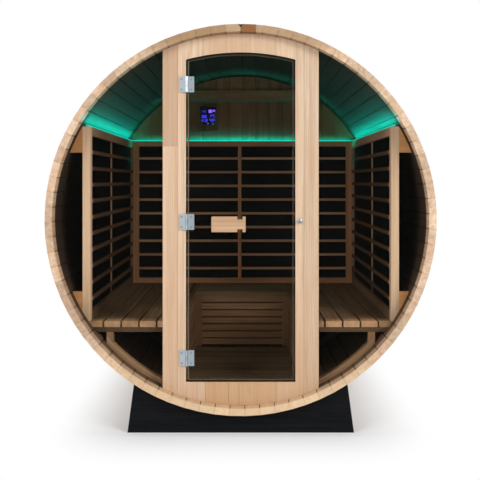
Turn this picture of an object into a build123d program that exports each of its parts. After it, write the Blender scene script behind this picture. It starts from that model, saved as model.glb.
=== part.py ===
from build123d import *
import math
import os

# Barrel sauna. X is to the right, Y goes back from the glazed front, Z is up.
# The origin is on the ground under the middle of the barrel. All sizes are in millimetres.

# Barrel shell
BARREL_LENGTH = 1600
OUTER_RADIUS = 980
GROUND_CLEARANCE = 105
STAVE_THICKNESS = 38
STAVE_COUNT = 80
CLOSING_STAVE_ANGLE = 2.0
STAVE_GAP = 0.4
TONGUE_DEPTH = 6
TONGUE_WIDTH = 10
TONGUE_CLEARANCE = 0.5
INNER_BEVEL = 2.5
TOP_NOTCH = 9
SEAT = 0.3

# Steel bands
BAND_WIDTH = 40
BAND_THICKNESS = 1.2
BAND_INSET = 330
CLAMP_STAVE = 28
CLAMP_SPREAD = 44
CLAMP_LUG_HEIGHT = 24
CLAMP_LUG_THICKNESS = 4
CLAMP_BOLT_RADIUS = 4
CLAMP_NUT_RADIUS = 8
CLAMP_NUT_LENGTH = 5

# Cradles
CRADLE_THICKNESS = 60
CRADLE_INSET = 60
CRADLE_BOTTOM_HALF = 576
CRADLE_TOP_HALF = 536
CRADLE_HEIGHT = 300

# Front wall and doorway
FRONT_RECESS = 42
FRONT_THICKNESS = 45
STILE_WIDTH = 117
STILE_BOARD_WIDTH = 75
HEADER_JOINTS = (-192, -73, 48, 180)
SILL_JOINTS = (-179, -62, -9, 179)
DOORWAY_HALF_WIDTH = 278
DOORWAY_SILL_Z = 263
DOORWAY_SPRING_Z = 1894
DOORWAY_RISE = 36.5
GLASS_THICKNESS = 8
WINDOW_SETBACK = 34

# Door
DOOR_GAP = 10
HINGE_HEIGHT = 80
HINGE_ZS = (385, 1073, 1768)
HINGE_LEAF_THICKNESS = 5
HINGE_FRAME_LEAF_WIDTH = 32
HINGE_DOOR_LEAF_WIDTH = 33
HINGE_LEAF_GAP = 2
HINGE_AXIS_OFFSET = 5
KNUCKLE_RADIUS = 6.5
KNUCKLE_GAP = 0.5
KNUCKLE_STANDOFF = 9
PIN_RADIUS = 3
PIN_CLEARANCE = 0.1
HANDLE_X = -147
HANDLE_Z = 1061
HANDLE_LENGTH = 172
HANDLE_HEIGHT = 76
HANDLE_THICKNESS = 20
HANDLE_STANDOFF = 18
HANDLE_EASE = 3
HANDLE_SPACER_XS = (40, 100)
SPACER_RADIUS = 10
NOTCH_START = 130
NOTCH_WIDTH = 26
NOTCH_DEPTH = 14
CATCH_OFFSET = 20
CATCH_Z = 1077
CATCH_RADIUS = 11.5
CATCH_NECK_RADIUS = 7
CATCH_NECK = 7
CATCH_HEAD = 5
CATCH_DOME = 2

# Back wall
BACK_OVERHANG = 62
BACK_THICKNESS = 38
BACK_SIDES = 96
BATTEN_DROP = 104
BATTEN_HEIGHT = 67
BATTEN_THICKNESS = 22
PLATE_X = -245
PLATE_WIDTH = 150
PLATE_HEIGHT = 190
PLATE_THICKNESS = 18
PLATE_DROP = 32
PLATE_EASE = 3
SCREEN_WIDTH = 113
SCREEN_HEIGHT = 128
SCREEN_THICKNESS = 12

# Floor
FLOOR_Z = 203
FLOOR_BOARD_THICKNESS = 25
FLOOR_BOARD_WIDTH = 92
FLOOR_BOARD_GAP = 5
BEARER_X = 120
BEARER_WIDTH = 44

# Benches
BENCH_TOP_Z = 559
PLANK_THICKNESS = 30
PLANK_WIDTH = 82.8
PLANK_GAP = 8.7
PLANK_EASE = 3
LEAST_PLANK = 20
EDGE_PLANK_WIDTH = 37
FOOTWELL_MARGIN = 22
BACK_BENCH_DEPTH = 438
BACK_PLANKS = 5
BENCH_FRONT_GAP = 12
BAR_DEPTH = 25
BAR_WIDTH = 40
FRAME_STATIONS = 3
LEG_INSET = 70
LEG_WIDTH = 34
CLEAT_THICKNESS = 26
CLEAT_FLOOR_GAP = 8
BENCH_FRONT_THICKNESS = 18
BENCH_FRONT_STILE = 38
BENCH_FRONT_SLAT = 37
BENCH_FRONT_SLAT_GAP = 9

# Heater guards
GUARD_TOP_Z = 1560
POST_WIDTH = 40
POST_DEPTH = 44
LEAST_POST_FOOT = 8
GLASS_TO_POST = 10
SIDE_TOP_RAIL = 44
SIDE_BOTTOM_RAIL = 46
SIDE_SLATS = 10
SIDE_SLAT_HEIGHT = 20
SIDE_TOP_GAP = 76
SIDE_BOTTOM_GAP = 52
SLAT_THICKNESS = 14
MID_BAR_WIDTH = 24
SIDE_MID_BAR_Y = -60
BACK_GUARD_DEPTH = 50
BACK_RAIL = 35
BACK_SLATS = 9
BACK_SLAT_HEIGHT = 17
BACK_TOP_GAP = 77
BACK_BOTTOM_GAP = 60
BACK_MID_BAR_X = -20
HEATER_THICKNESS = 8
HEATER_GAP = 6
INFILL_THICKNESS = 20
INFILL_TOP_HEIGHT = 134
INFILL_BOTTOM_HEIGHT = 152

# Light strips
LIGHT_WIDTH = 12
LIGHT_HEIGHT = 8
LIGHT_OFFSET = 10

# Sizes that follow
FRONT_Y = -BARREL_LENGTH / 2
BACK_Y = BARREL_LENGTH / 2
CENTRE_Z = OUTER_RADIUS + GROUND_CLEARANCE
INNER_RADIUS = OUTER_RADIUS - STAVE_THICKNESS
ROOM_RADIUS = INNER_RADIUS - SEAT
CROWN_Z = CENTRE_Z + INNER_RADIUS
FULL_STAVE_ANGLE = (360 - CLOSING_STAVE_ANGLE) / (STAVE_COUNT - 1)
STAVE_CORNER_RADIUS = OUTER_RADIUS / math.cos(math.radians(FULL_STAVE_ANGLE / 2))
WALL_FRONT_Y = FRONT_Y + FRONT_RECESS
WALL_BACK_Y = WALL_FRONT_Y + FRONT_THICKNESS
WINDOW_Y = WALL_FRONT_Y + WINDOW_SETBACK
FRONT_HALF_WIDTH = DOORWAY_HALF_WIDTH + STILE_WIDTH
BACK_WALL_Y = BACK_Y - BACK_OVERHANG - BACK_THICKNESS
ROOM_BACK_Y = BACK_WALL_Y - SEAT
FLOOR_BOTTOM_Z = FLOOR_Z - FLOOR_BOARD_THICKNESS
PLANK_BOTTOM_Z = BENCH_TOP_Z - PLANK_THICKNESS
BAR_BOTTOM_Z = PLANK_BOTTOM_Z - BAR_DEPTH
FOOTWELL_HALF = DOORWAY_HALF_WIDTH + FOOTWELL_MARGIN
BENCH_FRONT_OUTER = FOOTWELL_HALF + BENCH_FRONT_THICKNESS
BENCH_START_Y = WALL_BACK_Y + BENCH_FRONT_GAP
BACK_BENCH_Y = BACK_WALL_Y - BACK_BENCH_DEPTH
GUARD_START_Y = WALL_BACK_Y + GLASS_TO_POST
BACK_GUARD_Y = BACK_WALL_Y - BACK_GUARD_DEPTH


def upright(y):
    """Plane across the barrel at depth y, whose own axes are X and the height above ground."""
    return Plane(origin=(0, y, 0), x_dir=(1, 0, 0), z_dir=(0, -1, 0))


def radial(y, degrees):
    """Plane across the barrel at depth y, centred on its axis, with its y axis at that angle."""
    angle = math.radians(degrees)
    x_dir = (math.sin(angle), 0, -math.cos(angle))
    return Plane(origin=(0, y, CENTRE_Z), x_dir=x_dir, z_dir=(0, -1, 0))


def strip(x0, x1, z0, z1):
    """Add a rectangle between these limits to the section in progress."""
    with Locations(((x0 + x1) / 2, (z0 + z1) / 2)):
        Rectangle(abs(x1 - x0), abs(z1 - z0))


def scribe():
    """Trim the section in progress to the round inside of the barrel."""
    with Locations((0, CENTRE_Z)):
        Circle(ROOM_RADIUS, mode=Mode.INTERSECT)


def room_half_width(z):
    """Half the width of the round room at height z."""
    return math.sqrt(ROOM_RADIUS**2 - (z - CENTRE_Z) ** 2)


def stave_edge(half_angle, reach, clearance, notch):
    """Points up one edge of a stave, from its inner to its outer face.

    A positive reach makes a tongue and a negative one a groove. A notch bevels the outer corner.
    """
    sine = math.sin(half_angle)
    cosine = math.cos(half_angle)

    def on_edge(distance, out):
        shift = out - STAVE_GAP / 2
        return (distance * sine + shift * cosine, distance * cosine - shift * sine)

    inner_corner = INNER_RADIUS / cosine
    outer_corner = OUTER_RADIUS / cosine
    tongue_middle = (INNER_RADIUS + OUTER_RADIUS) / 2
    half_tongue = TONGUE_WIDTH / 2 + clearance
    points = [
        (inner_corner * sine - INNER_BEVEL, INNER_RADIUS),
        on_edge(inner_corner + INNER_BEVEL, 0),
        on_edge(tongue_middle - half_tongue, 0),
        on_edge(tongue_middle - half_tongue, reach),
        on_edge(tongue_middle + half_tongue, reach),
        on_edge(tongue_middle + half_tongue, 0),
        on_edge(outer_corner - notch, 0),
    ]
    if notch:
        points.append((outer_corner * sine - notch, OUTER_RADIUS))
    return points


os.makedirs("parts", exist_ok=True)

# Stave shell
# Flat staves meet on radial joints, the tongue of each in the groove of the next, with the inner
# corners bevelled. Going clockwise from the top joint, the second stave is the narrow one that
# closes the ring. The top joint has a wide bevel on both sides, which leaves an open notch.
joint_angles = [90.0]
for index in range(STAVE_COUNT):
    width = CLOSING_STAVE_ANGLE if index == 1 else FULL_STAVE_ANGLE
    joint_angles.append(joint_angles[-1] - width)

STAVE_NODES = (
    "staves_top_right",
    "staves_upper_right",
    "staves_lower_right",
    "staves_bottom_right",
    "staves_bottom_left",
    "staves_lower_left",
    "staves_upper_left",
    "staves_top_left",
)
groove_reach = -TONGUE_DEPTH - TONGUE_CLEARANCE
staves_per_node = STAVE_COUNT // len(STAVE_NODES)
for node_index, node_name in enumerate(STAVE_NODES):
    first = node_index * staves_per_node
    with BuildPart() as staves:
        for index in range(first, first + staves_per_node):
            middle_angle = (joint_angles[index] + joint_angles[index + 1]) / 2
            half_angle = math.radians(joint_angles[index] - joint_angles[index + 1]) / 2
            groove_notch = TOP_NOTCH if index == 0 else 0
            tongue_notch = TOP_NOTCH if index == STAVE_COUNT - 1 else 0
            tongue = stave_edge(half_angle, TONGUE_DEPTH, 0, tongue_notch)
            groove = stave_edge(half_angle, groove_reach, TONGUE_CLEARANCE, groove_notch)
            with BuildSketch(radial(FRONT_Y, middle_angle)):
                with BuildLine():
                    Polyline(*tongue, *[(-x, y) for x, y in reversed(groove)], close=True)
                make_face()
            extrude(amount=-BARREL_LENGTH)
    staves.part.label = node_name
    export_step(staves.part, f"parts/{node_name}.step")

# Steel bands
# Steel straps hold the staves together. Each lies flat on them, with its corners over the joints.
band_ys = (FRONT_Y + BAND_INSET, BACK_Y - BAND_INSET)
with BuildPart() as steel_bands:
    for band_y in band_ys:
        with BuildSketch(radial(band_y - BAND_WIDTH / 2, 90)):
            for distance, mode in (
                (OUTER_RADIUS + SEAT + BAND_THICKNESS, Mode.ADD),
                (OUTER_RADIUS + SEAT, Mode.SUBTRACT),
            ):
                corner = distance / math.cos(math.radians(FULL_STAVE_ANGLE / 2))
                with BuildLine():
                    Polyline(
                        *[
                            (corner * math.cos(angle), corner * math.sin(angle))
                            for angle in map(math.radians, joint_angles[:-1])
                        ],
                        close=True,
                    )
                make_face(mode=mode)
        extrude(amount=-BAND_WIDTH)
steel_bands.part.label = "steel_bands"
export_step(steel_bands.part, "parts/steel_bands.step")

# Band clamps
# Low on the right side, a bolt through two upright lugs draws each strap tight.
clamp_angle = (joint_angles[CLAMP_STAVE] + joint_angles[CLAMP_STAVE + 1]) / 2
lug_middle = OUTER_RADIUS + 2 * SEAT + BAND_THICKNESS + CLAMP_LUG_HEIGHT / 2
lug_inner = CLAMP_SPREAD / 2 - CLAMP_LUG_THICKNESS / 2
lug_outer = CLAMP_SPREAD / 2 + CLAMP_LUG_THICKNESS / 2
with BuildPart() as band_clamps:
    for band_y in band_ys:
        with BuildSketch(radial(band_y - BAND_WIDTH / 2, clamp_angle)):
            with Locations((-CLAMP_SPREAD / 2, lug_middle), (CLAMP_SPREAD / 2, lug_middle)):
                Rectangle(CLAMP_LUG_THICKNESS, CLAMP_LUG_HEIGHT)
        extrude(amount=-BAND_WIDTH)
        clamp_plane = radial(band_y, clamp_angle)
        bolt_plane = Plane(
            origin=clamp_plane.origin + clamp_plane.y_dir * lug_middle,
            x_dir=(0, 1, 0),
            z_dir=clamp_plane.x_dir,
        )
        with BuildSketch(bolt_plane):
            RegularPolygon(CLAMP_NUT_RADIUS, 6)
        extrude(amount=lug_outer + CLAMP_NUT_LENGTH, both=True)
        with BuildSketch(bolt_plane):
            Circle(CLAMP_NUT_RADIUS + SEAT)
            Circle(CLAMP_BOLT_RADIUS, mode=Mode.SUBTRACT)
        extrude(amount=lug_inner, both=True, mode=Mode.SUBTRACT)
band_clamps.part.label = "band_clamps"
export_step(band_clamps.part, "parts/band_clamps.step")

# Cradles
# Boards with sloping ends that run up to the barrel, and a curved seat that it lies in.
for cradle_name, cradle_y in (
    ("cradle_front", FRONT_Y + CRADLE_INSET),
    ("cradle_rear", BACK_Y - CRADLE_INSET - CRADLE_THICKNESS),
):
    with BuildPart() as cradle:
        with BuildSketch(upright(cradle_y)):
            with BuildLine():
                Polyline(
                    (-CRADLE_BOTTOM_HALF, 0),
                    (CRADLE_BOTTOM_HALF, 0),
                    (CRADLE_TOP_HALF, CRADLE_HEIGHT),
                    (-CRADLE_TOP_HALF, CRADLE_HEIGHT),
                    close=True,
                )
            make_face()
            with Locations((0, CENTRE_Z)):
                Circle(STAVE_CORNER_RADIUS + SEAT, mode=Mode.SUBTRACT)
        extrude(amount=-CRADLE_THICKNESS)
    cradle.part.label = cradle_name
    export_step(cradle.part, f"parts/{cradle_name}.step")

# Front wall
# Upright boards from ring to ring, with an arched doorway through them. The stiles stand beside
# the doorway, the header fills the ring over its arch and the sill under it.
for stile_name, side in (("front_stile_left", -1), ("front_stile_right", 1)):
    board_joint = FRONT_HALF_WIDTH - STILE_BOARD_WIDTH
    with BuildPart() as front_stile:
        with BuildSketch(upright(WALL_FRONT_Y)):
            strip(side * DOORWAY_HALF_WIDTH, side * board_joint, 0, 2 * CENTRE_Z)
            strip(side * (board_joint + SEAT), side * FRONT_HALF_WIDTH, 0, 2 * CENTRE_Z)
            scribe()
        extrude(amount=-FRONT_THICKNESS)
    front_stile.part.label = stile_name
    export_step(front_stile.part, f"parts/{stile_name}.step")

arch_crown_z = DOORWAY_SPRING_Z + DOORWAY_RISE
arch_radius = (DOORWAY_HALF_WIDTH**2 + DOORWAY_RISE**2) / (2 * DOORWAY_RISE)
arch_centre_z = arch_crown_z - arch_radius
header_edges = (-DOORWAY_HALF_WIDTH, *HEADER_JOINTS, DOORWAY_HALF_WIDTH)
with BuildPart() as front_header:
    with BuildSketch(upright(WALL_FRONT_Y)):
        for start, end in zip(header_edges, header_edges[1:]):
            strip(start + SEAT / 2, end - SEAT / 2, DOORWAY_SPRING_Z, 2 * CENTRE_Z)
        with Locations((0, arch_centre_z)):
            Circle(arch_radius, mode=Mode.SUBTRACT)
        scribe()
    extrude(amount=-FRONT_THICKNESS)
front_header.part.label = "front_header"
export_step(front_header.part, "parts/front_header.step")

sill_edges = (-DOORWAY_HALF_WIDTH, *SILL_JOINTS, DOORWAY_HALF_WIDTH)
with BuildPart() as front_sill:
    with BuildSketch(upright(WALL_FRONT_Y)):
        for start, end in zip(sill_edges, sill_edges[1:]):
            strip(start + SEAT / 2, end - SEAT / 2, 0, DOORWAY_SILL_Z)
        scribe()
    extrude(amount=-FRONT_THICKNESS)
front_sill.part.label = "front_sill"
export_step(front_sill.part, "parts/front_sill.step")

# Windows
# One large pane each side of the front wall, held at the stile and the staves.
for window_name, side in (("window_left", -1), ("window_right", 1)):
    with BuildPart() as window:
        with BuildSketch(upright(WINDOW_Y)):
            strip(side * (FRONT_HALF_WIDTH + SEAT), side * ROOM_RADIUS, 0, 2 * CENTRE_Z)
            scribe()
        extrude(amount=-GLASS_THICKNESS)
    window.part.label = window_name
    export_step(window.part, f"parts/{window_name}.step")

# Door
# A clear pane that leaves an even gap in the arched doorway.
pane_half = DOORWAY_HALF_WIDTH - DOOR_GAP
with BuildPart() as door_glass:
    with BuildSketch(upright(WALL_FRONT_Y)):
        strip(-pane_half, pane_half, DOORWAY_SILL_Z + DOOR_GAP, arch_crown_z)
        with Locations((0, arch_centre_z)):
            Circle(arch_radius - DOOR_GAP, mode=Mode.INTERSECT)
    extrude(amount=-GLASS_THICKNESS)
door_glass.part.label = "door_glass"
export_step(door_glass.part, "parts/door_glass.step")

# Hinges
# The frame leaf is screwed to the stile and carries the two end knuckles and the pin. The door
# leaf carries the middle knuckle and clamps the glass against a back plate.
hinge_x = -pane_half - HINGE_AXIS_OFFSET
hinge_y = WALL_FRONT_Y - KNUCKLE_STANDOFF
knuckle_height = HINGE_HEIGHT / 3
leaf_y = WALL_FRONT_Y - SEAT - HINGE_LEAF_THICKNESS
frame_leaf_x = -DOORWAY_HALF_WIDTH - HINGE_FRAME_LEAF_WIDTH
door_leaf_x = -pane_half + HINGE_DOOR_LEAF_WIDTH
hinge_places = [(hinge_x, hinge_y, hinge_z) for hinge_z in HINGE_ZS]
with BuildPart() as hinge_frame_leaves:
    with BuildSketch(upright(leaf_y)):
        for hinge_z in HINGE_ZS:
            strip(
                frame_leaf_x,
                hinge_x - HINGE_LEAF_GAP,
                hinge_z - HINGE_HEIGHT / 2,
                hinge_z + HINGE_HEIGHT / 2,
            )
    extrude(amount=-HINGE_LEAF_THICKNESS)
    with Locations(*hinge_places):
        Cylinder(KNUCKLE_RADIUS, HINGE_HEIGHT)
        Cylinder(
            KNUCKLE_RADIUS + KNUCKLE_GAP,
            knuckle_height + 2 * KNUCKLE_GAP,
            mode=Mode.SUBTRACT,
        )
        Cylinder(PIN_RADIUS, HINGE_HEIGHT)
hinge_frame_leaves.part.label = "hinge_frame_leaves"
export_step(hinge_frame_leaves.part, "parts/hinge_frame_leaves.step")

back_plate_y = WALL_FRONT_Y + GLASS_THICKNESS + SEAT
knuckle_web = KNUCKLE_RADIUS + 2 * KNUCKLE_GAP
with BuildPart() as hinge_door_leaves:
    with BuildSketch(upright(leaf_y)):
        for hinge_z in HINGE_ZS:
            strip(
                hinge_x + HINGE_LEAF_GAP,
                door_leaf_x,
                hinge_z - HINGE_HEIGHT / 2,
                hinge_z + HINGE_HEIGHT / 2,
            )
    extrude(amount=-HINGE_LEAF_THICKNESS)
    with Locations(*hinge_places):
        Cylinder(KNUCKLE_RADIUS + KNUCKLE_GAP, HINGE_HEIGHT, mode=Mode.SUBTRACT)
        Cylinder(KNUCKLE_RADIUS, knuckle_height)
    with BuildSketch(upright(leaf_y)):
        for hinge_z in HINGE_ZS:
            strip(
                hinge_x,
                hinge_x + knuckle_web,
                hinge_z - knuckle_height / 2,
                hinge_z + knuckle_height / 2,
            )
    extrude(amount=-HINGE_LEAF_THICKNESS / 2)
    with Locations(*hinge_places):
        Cylinder(PIN_RADIUS + PIN_CLEARANCE, HINGE_HEIGHT, mode=Mode.SUBTRACT)
    with BuildSketch(upright(back_plate_y)):
        for hinge_z in HINGE_ZS:
            strip(
                -pane_half,
                door_leaf_x,
                hinge_z - HINGE_HEIGHT / 2,
                hinge_z + HINGE_HEIGHT / 2,
            )
    extrude(amount=-HINGE_LEAF_THICKNESS)
hinge_door_leaves.part.label = "hinge_door_leaves"
export_step(hinge_door_leaves.part, "parts/hinge_door_leaves.step")

# Handle
# A notched wooden block outside the glass and one inside, each on two round spacers, with the
# edges that face away from the glass eased.
glass_front_y = WALL_FRONT_Y - SEAT
glass_back_y = WALL_FRONT_Y + GLASS_THICKNESS + SEAT
outer_block_y = glass_front_y - HANDLE_STANDOFF - HANDLE_THICKNESS
inner_block_y = glass_back_y + HANDLE_STANDOFF
notch_x = HANDLE_X + NOTCH_START + NOTCH_WIDTH / 2
with BuildPart() as door_handle:
    for block_y, spacer_y, eased_face in (
        (outer_block_y, glass_front_y - HANDLE_STANDOFF, 0),
        (inner_block_y, glass_back_y, -1),
    ):
        with BuildSketch(upright(block_y)):
            with Locations((HANDLE_X + HANDLE_LENGTH / 2, HANDLE_Z)):
                Rectangle(HANDLE_LENGTH, HANDLE_HEIGHT)
            with Locations(
                (notch_x, HANDLE_Z + HANDLE_HEIGHT / 2),
                (notch_x, HANDLE_Z - HANDLE_HEIGHT / 2),
            ):
                Rectangle(NOTCH_WIDTH, 2 * NOTCH_DEPTH, mode=Mode.SUBTRACT)
        extrude(amount=-HANDLE_THICKNESS)
        block_faces = door_handle.faces(Select.LAST).sort_by(Axis.Y)
        chamfer(block_faces[eased_face].edges(), HANDLE_EASE)
        with BuildSketch(upright(spacer_y)):
            with Locations(*[(HANDLE_X + spacer_x, HANDLE_Z) for spacer_x in HANDLE_SPACER_XS]):
                Circle(SPACER_RADIUS)
        extrude(amount=-HANDLE_STANDOFF)
door_handle.part.label = "door_handle"
export_step(door_handle.part, "parts/door_handle.step")

# Catch
# A turned steel button on the right stile, beside the edge of the closed door.
catch_foot = (DOORWAY_HALF_WIDTH + CATCH_OFFSET, WALL_FRONT_Y - SEAT, CATCH_Z)
head_end = CATCH_NECK + CATCH_HEAD
with BuildPart() as door_catch:
    with BuildSketch(Plane(origin=catch_foot, x_dir=(1, 0, 0), z_dir=(0, 0, 1))):
        with BuildLine():
            Polyline(
                (0, 0),
                (CATCH_NECK_RADIUS, 0),
                (CATCH_NECK_RADIUS, -CATCH_NECK),
                (CATCH_RADIUS, -CATCH_NECK),
                (CATCH_RADIUS, -head_end),
                (CATCH_NECK_RADIUS, -head_end - CATCH_DOME),
                (0, -head_end - CATCH_DOME),
                close=True,
            )
        make_face()
    revolve(axis=Axis(catch_foot, (0, 1, 0)))
door_catch.part.label = "door_catch"
export_step(door_catch.part, "parts/door_catch.step")

# Back wall
# A round wall, sawn in short straight cuts, set in from the rear ends of the staves. A level batten
# crosses it near the top, and a wooden plate under the batten carries the control screen.
with BuildPart() as back_wall:
    with BuildSketch(upright(BACK_WALL_Y)):
        with Locations((0, CENTRE_Z)):
            RegularPolygon(ROOM_RADIUS, BACK_SIDES)
    extrude(amount=-BACK_THICKNESS)
back_wall.part.label = "back_wall"
export_step(back_wall.part, "parts/back_wall.step")

batten_top_z = CROWN_Z - BATTEN_DROP
batten_bottom_z = batten_top_z - BATTEN_HEIGHT
with BuildPart() as back_batten:
    with BuildSketch(upright(ROOM_BACK_Y)):
        strip(-ROOM_RADIUS, ROOM_RADIUS, batten_bottom_z, batten_top_z)
        scribe()
    extrude(amount=BATTEN_THICKNESS)
back_batten.part.label = "back_batten"
export_step(back_batten.part, "parts/back_batten.step")

plate_top_z = batten_bottom_z - PLATE_DROP
with BuildPart() as control_plate:
    with BuildSketch(upright(ROOM_BACK_Y)):
        with Locations((PLATE_X, plate_top_z - PLATE_HEIGHT / 2)):
            Rectangle(PLATE_WIDTH, PLATE_HEIGHT)
    extrude(amount=PLATE_THICKNESS)
    chamfer(control_plate.faces().sort_by(Axis.Y)[0].edges(), PLATE_EASE)
control_plate.part.label = "control_plate"
export_step(control_plate.part, "parts/control_plate.step")

screen_margin = (PLATE_WIDTH - SCREEN_WIDTH) / 2
with BuildPart() as control_screen:
    with BuildSketch(upright(ROOM_BACK_Y - PLATE_THICKNESS - SEAT)):
        with Locations((PLATE_X, plate_top_z - screen_margin - SCREEN_HEIGHT / 2)):
            Rectangle(SCREEN_WIDTH, SCREEN_HEIGHT)
    extrude(amount=SCREEN_THICKNESS)
control_screen.part.label = "control_screen"
export_step(control_screen.part, "parts/control_screen.step")

# Floor
# Boards lie across the footwell, their ends scribed to the staves, on two long bearers.
floor_start_y = WALL_BACK_Y + SEAT
floor_end_y = BACK_BENCH_Y + BENCH_FRONT_THICKNESS
floor_pitch = FLOOR_BOARD_WIDTH + FLOOR_BOARD_GAP
floor_board_count = math.floor((floor_end_y - floor_start_y + FLOOR_BOARD_GAP) / floor_pitch)
with BuildPart() as floor_boards:
    for index in range(floor_board_count):
        with BuildSketch(upright(floor_start_y + index * floor_pitch)):
            strip(-ROOM_RADIUS, ROOM_RADIUS, FLOOR_BOTTOM_Z, FLOOR_Z)
            scribe()
        extrude(amount=-FLOOR_BOARD_WIDTH)
floor_boards.part.label = "floor_boards"
export_step(floor_boards.part, "parts/floor_boards.step")

with BuildPart() as floor_bearers:
    with BuildSketch(upright(floor_start_y)):
        for middle_x in (-BEARER_X, BEARER_X):
            strip(
                middle_x - BEARER_WIDTH / 2,
                middle_x + BEARER_WIDTH / 2,
                0,
                FLOOR_BOTTOM_Z - SEAT,
            )
        scribe()
    extrude(amount=floor_start_y - floor_end_y)
floor_bearers.part.label = "floor_bearers"
export_step(floor_bearers.part, "parts/floor_bearers.step")

# Bench planks
# Side planks run the whole depth of the room, and the outermost is scribed to the staves. The back
# bench bridges the footwell between them. All top edges are eased.
side_planks = [(FOOTWELL_HALF, FOOTWELL_HALF + EDGE_PLANK_WIDTH)]
next_start = FOOTWELL_HALF + EDGE_PLANK_WIDTH + PLANK_GAP
while next_start + LEAST_PLANK < room_half_width(PLANK_BOTTOM_Z):
    side_planks.append((next_start, next_start + PLANK_WIDTH))
    next_start += PLANK_WIDTH + PLANK_GAP
for bench_name, side in (("bench_planks_left", -1), ("bench_planks_right", 1)):
    with BuildPart() as bench_planks:
        with BuildSketch(upright(BENCH_START_Y)) as plank_section:
            for start, end in side_planks:
                strip(side * start, side * end, PLANK_BOTTOM_Z, BENCH_TOP_Z)
            chamfer(plank_section.vertices().group_by(Axis.Y)[-1], PLANK_EASE)
            scribe()
        extrude(amount=BENCH_START_Y - ROOM_BACK_Y)
    bench_planks.part.label = bench_name
    export_step(bench_planks.part, f"parts/{bench_name}.step")

back_plank_pitch = (ROOM_BACK_Y - BACK_BENCH_Y + PLANK_GAP) / BACK_PLANKS
back_plank_width = back_plank_pitch - PLANK_GAP
with BuildPart() as bench_planks_back:
    with BuildSketch(Plane.YZ.offset(SEAT - FOOTWELL_HALF)) as plank_section:
        for index in range(BACK_PLANKS):
            plank_y = BACK_BENCH_Y + index * back_plank_pitch
            strip(plank_y, plank_y + back_plank_width, PLANK_BOTTOM_Z, BENCH_TOP_Z)
        chamfer(plank_section.vertices().group_by(Axis.Y)[-1], PLANK_EASE)
    extrude(amount=2 * (FOOTWELL_HALF - SEAT))
bench_planks_back.part.label = "bench_planks_back"
export_step(bench_planks_back.part, "parts/bench_planks_back.step")

# Bench frames
# At each station a level bar carries the planks, and a leg under it stands on a curved cleat that
# follows the staves down to the floor.
first_station_y = BENCH_START_Y + SEAT
last_station_y = ROOM_BACK_Y - SEAT - BAR_WIDTH
station_step = (last_station_y - first_station_y) / (FRAME_STATIONS - 1)
station_ys = [first_station_y + index * station_step for index in range(FRAME_STATIONS)]
leg_outer = room_half_width(PLANK_BOTTOM_Z) - LEG_INSET
cleat_radius = ROOM_RADIUS - CLEAT_THICKNESS
with BuildPart() as bench_frames:
    for station_y in station_ys:
        with BuildSketch(upright(station_y)):
            for side in (-1, 1):
                strip(side * (leg_outer - LEG_WIDTH), side * leg_outer, 0, BAR_BOTTOM_Z - SEAT)
            with Locations((0, CENTRE_Z)):
                Circle(cleat_radius - SEAT, mode=Mode.INTERSECT)
            for side in (-1, 1):
                strip(
                    side * (BENCH_FRONT_OUTER + SEAT),
                    side * ROOM_RADIUS,
                    BAR_BOTTOM_Z,
                    PLANK_BOTTOM_Z - SEAT,
                )
            scribe()
        extrude(amount=-BAR_WIDTH)
bench_frames.part.label = "bench_frames"
export_step(bench_frames.part, "parts/bench_frames.step")

cleat_start = max(room_half_width(FLOOR_Z) + CLEAT_FLOOR_GAP, BENCH_FRONT_OUTER + SEAT)
with BuildPart() as bench_cleats:
    for station_y in station_ys:
        with BuildSketch(upright(station_y)):
            for side in (-1, 1):
                strip(side * cleat_start, side * leg_outer, 0, CENTRE_Z)
            scribe()
            with Locations((0, CENTRE_Z)):
                Circle(cleat_radius, mode=Mode.SUBTRACT)
        extrude(amount=-BAR_WIDTH)
bench_cleats.part.label = "bench_cleats"
export_step(bench_cleats.part, "parts/bench_cleats.step")

# Bench fronts
# Slatted panels between stiles close the footwell on three sides, from the floor to the planks.
panel_bottom_z = FLOOR_Z + SEAT
panel_top_z = PLANK_BOTTOM_Z - SEAT
panel_height = panel_top_z - panel_bottom_z
panel_pitch = BENCH_FRONT_SLAT + BENCH_FRONT_SLAT_GAP
panel_slats = math.floor((panel_height + BENCH_FRONT_SLAT_GAP) / panel_pitch)
panel_slat_tops = [panel_top_z - index * panel_pitch for index in range(panel_slats)]
panel_end_y = BACK_BENCH_Y - SEAT
for panel_name, side in (("bench_front_left", -1), ("bench_front_right", 1)):
    inner_x = side * FOOTWELL_HALF
    outer_x = side * BENCH_FRONT_OUTER
    with BuildPart() as bench_front:
        for stile_y in (BENCH_START_Y, panel_end_y - BENCH_FRONT_STILE):
            with BuildSketch(upright(stile_y)):
                strip(inner_x, outer_x, panel_bottom_z, panel_top_z)
                scribe()
            extrude(amount=-BENCH_FRONT_STILE)
        slat_start_y = BENCH_START_Y + BENCH_FRONT_STILE + SEAT
        slat_end_y = panel_end_y - BENCH_FRONT_STILE - SEAT
        with BuildSketch(upright(slat_start_y)):
            for slat_top in panel_slat_tops:
                strip(inner_x, outer_x, slat_top - BENCH_FRONT_SLAT, slat_top)
            scribe()
        extrude(amount=slat_start_y - slat_end_y)
    bench_front.part.label = panel_name
    export_step(bench_front.part, f"parts/{panel_name}.step")

panel_half = FOOTWELL_HALF - SEAT
stile_inner = panel_half - BENCH_FRONT_STILE
slat_half = stile_inner - SEAT
with BuildPart() as bench_front_back:
    with BuildSketch(upright(BACK_BENCH_Y)):
        for side in (-1, 1):
            strip(side * panel_half, side * stile_inner, panel_bottom_z, panel_top_z)
        for slat_top in panel_slat_tops:
            strip(-slat_half, slat_half, slat_top - BENCH_FRONT_SLAT, slat_top)
        scribe()
    extrude(amount=-BENCH_FRONT_THICKNESS)
bench_front_back.part.label = "bench_front_back"
export_step(bench_front_back.part, "parts/bench_front_back.step")

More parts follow.
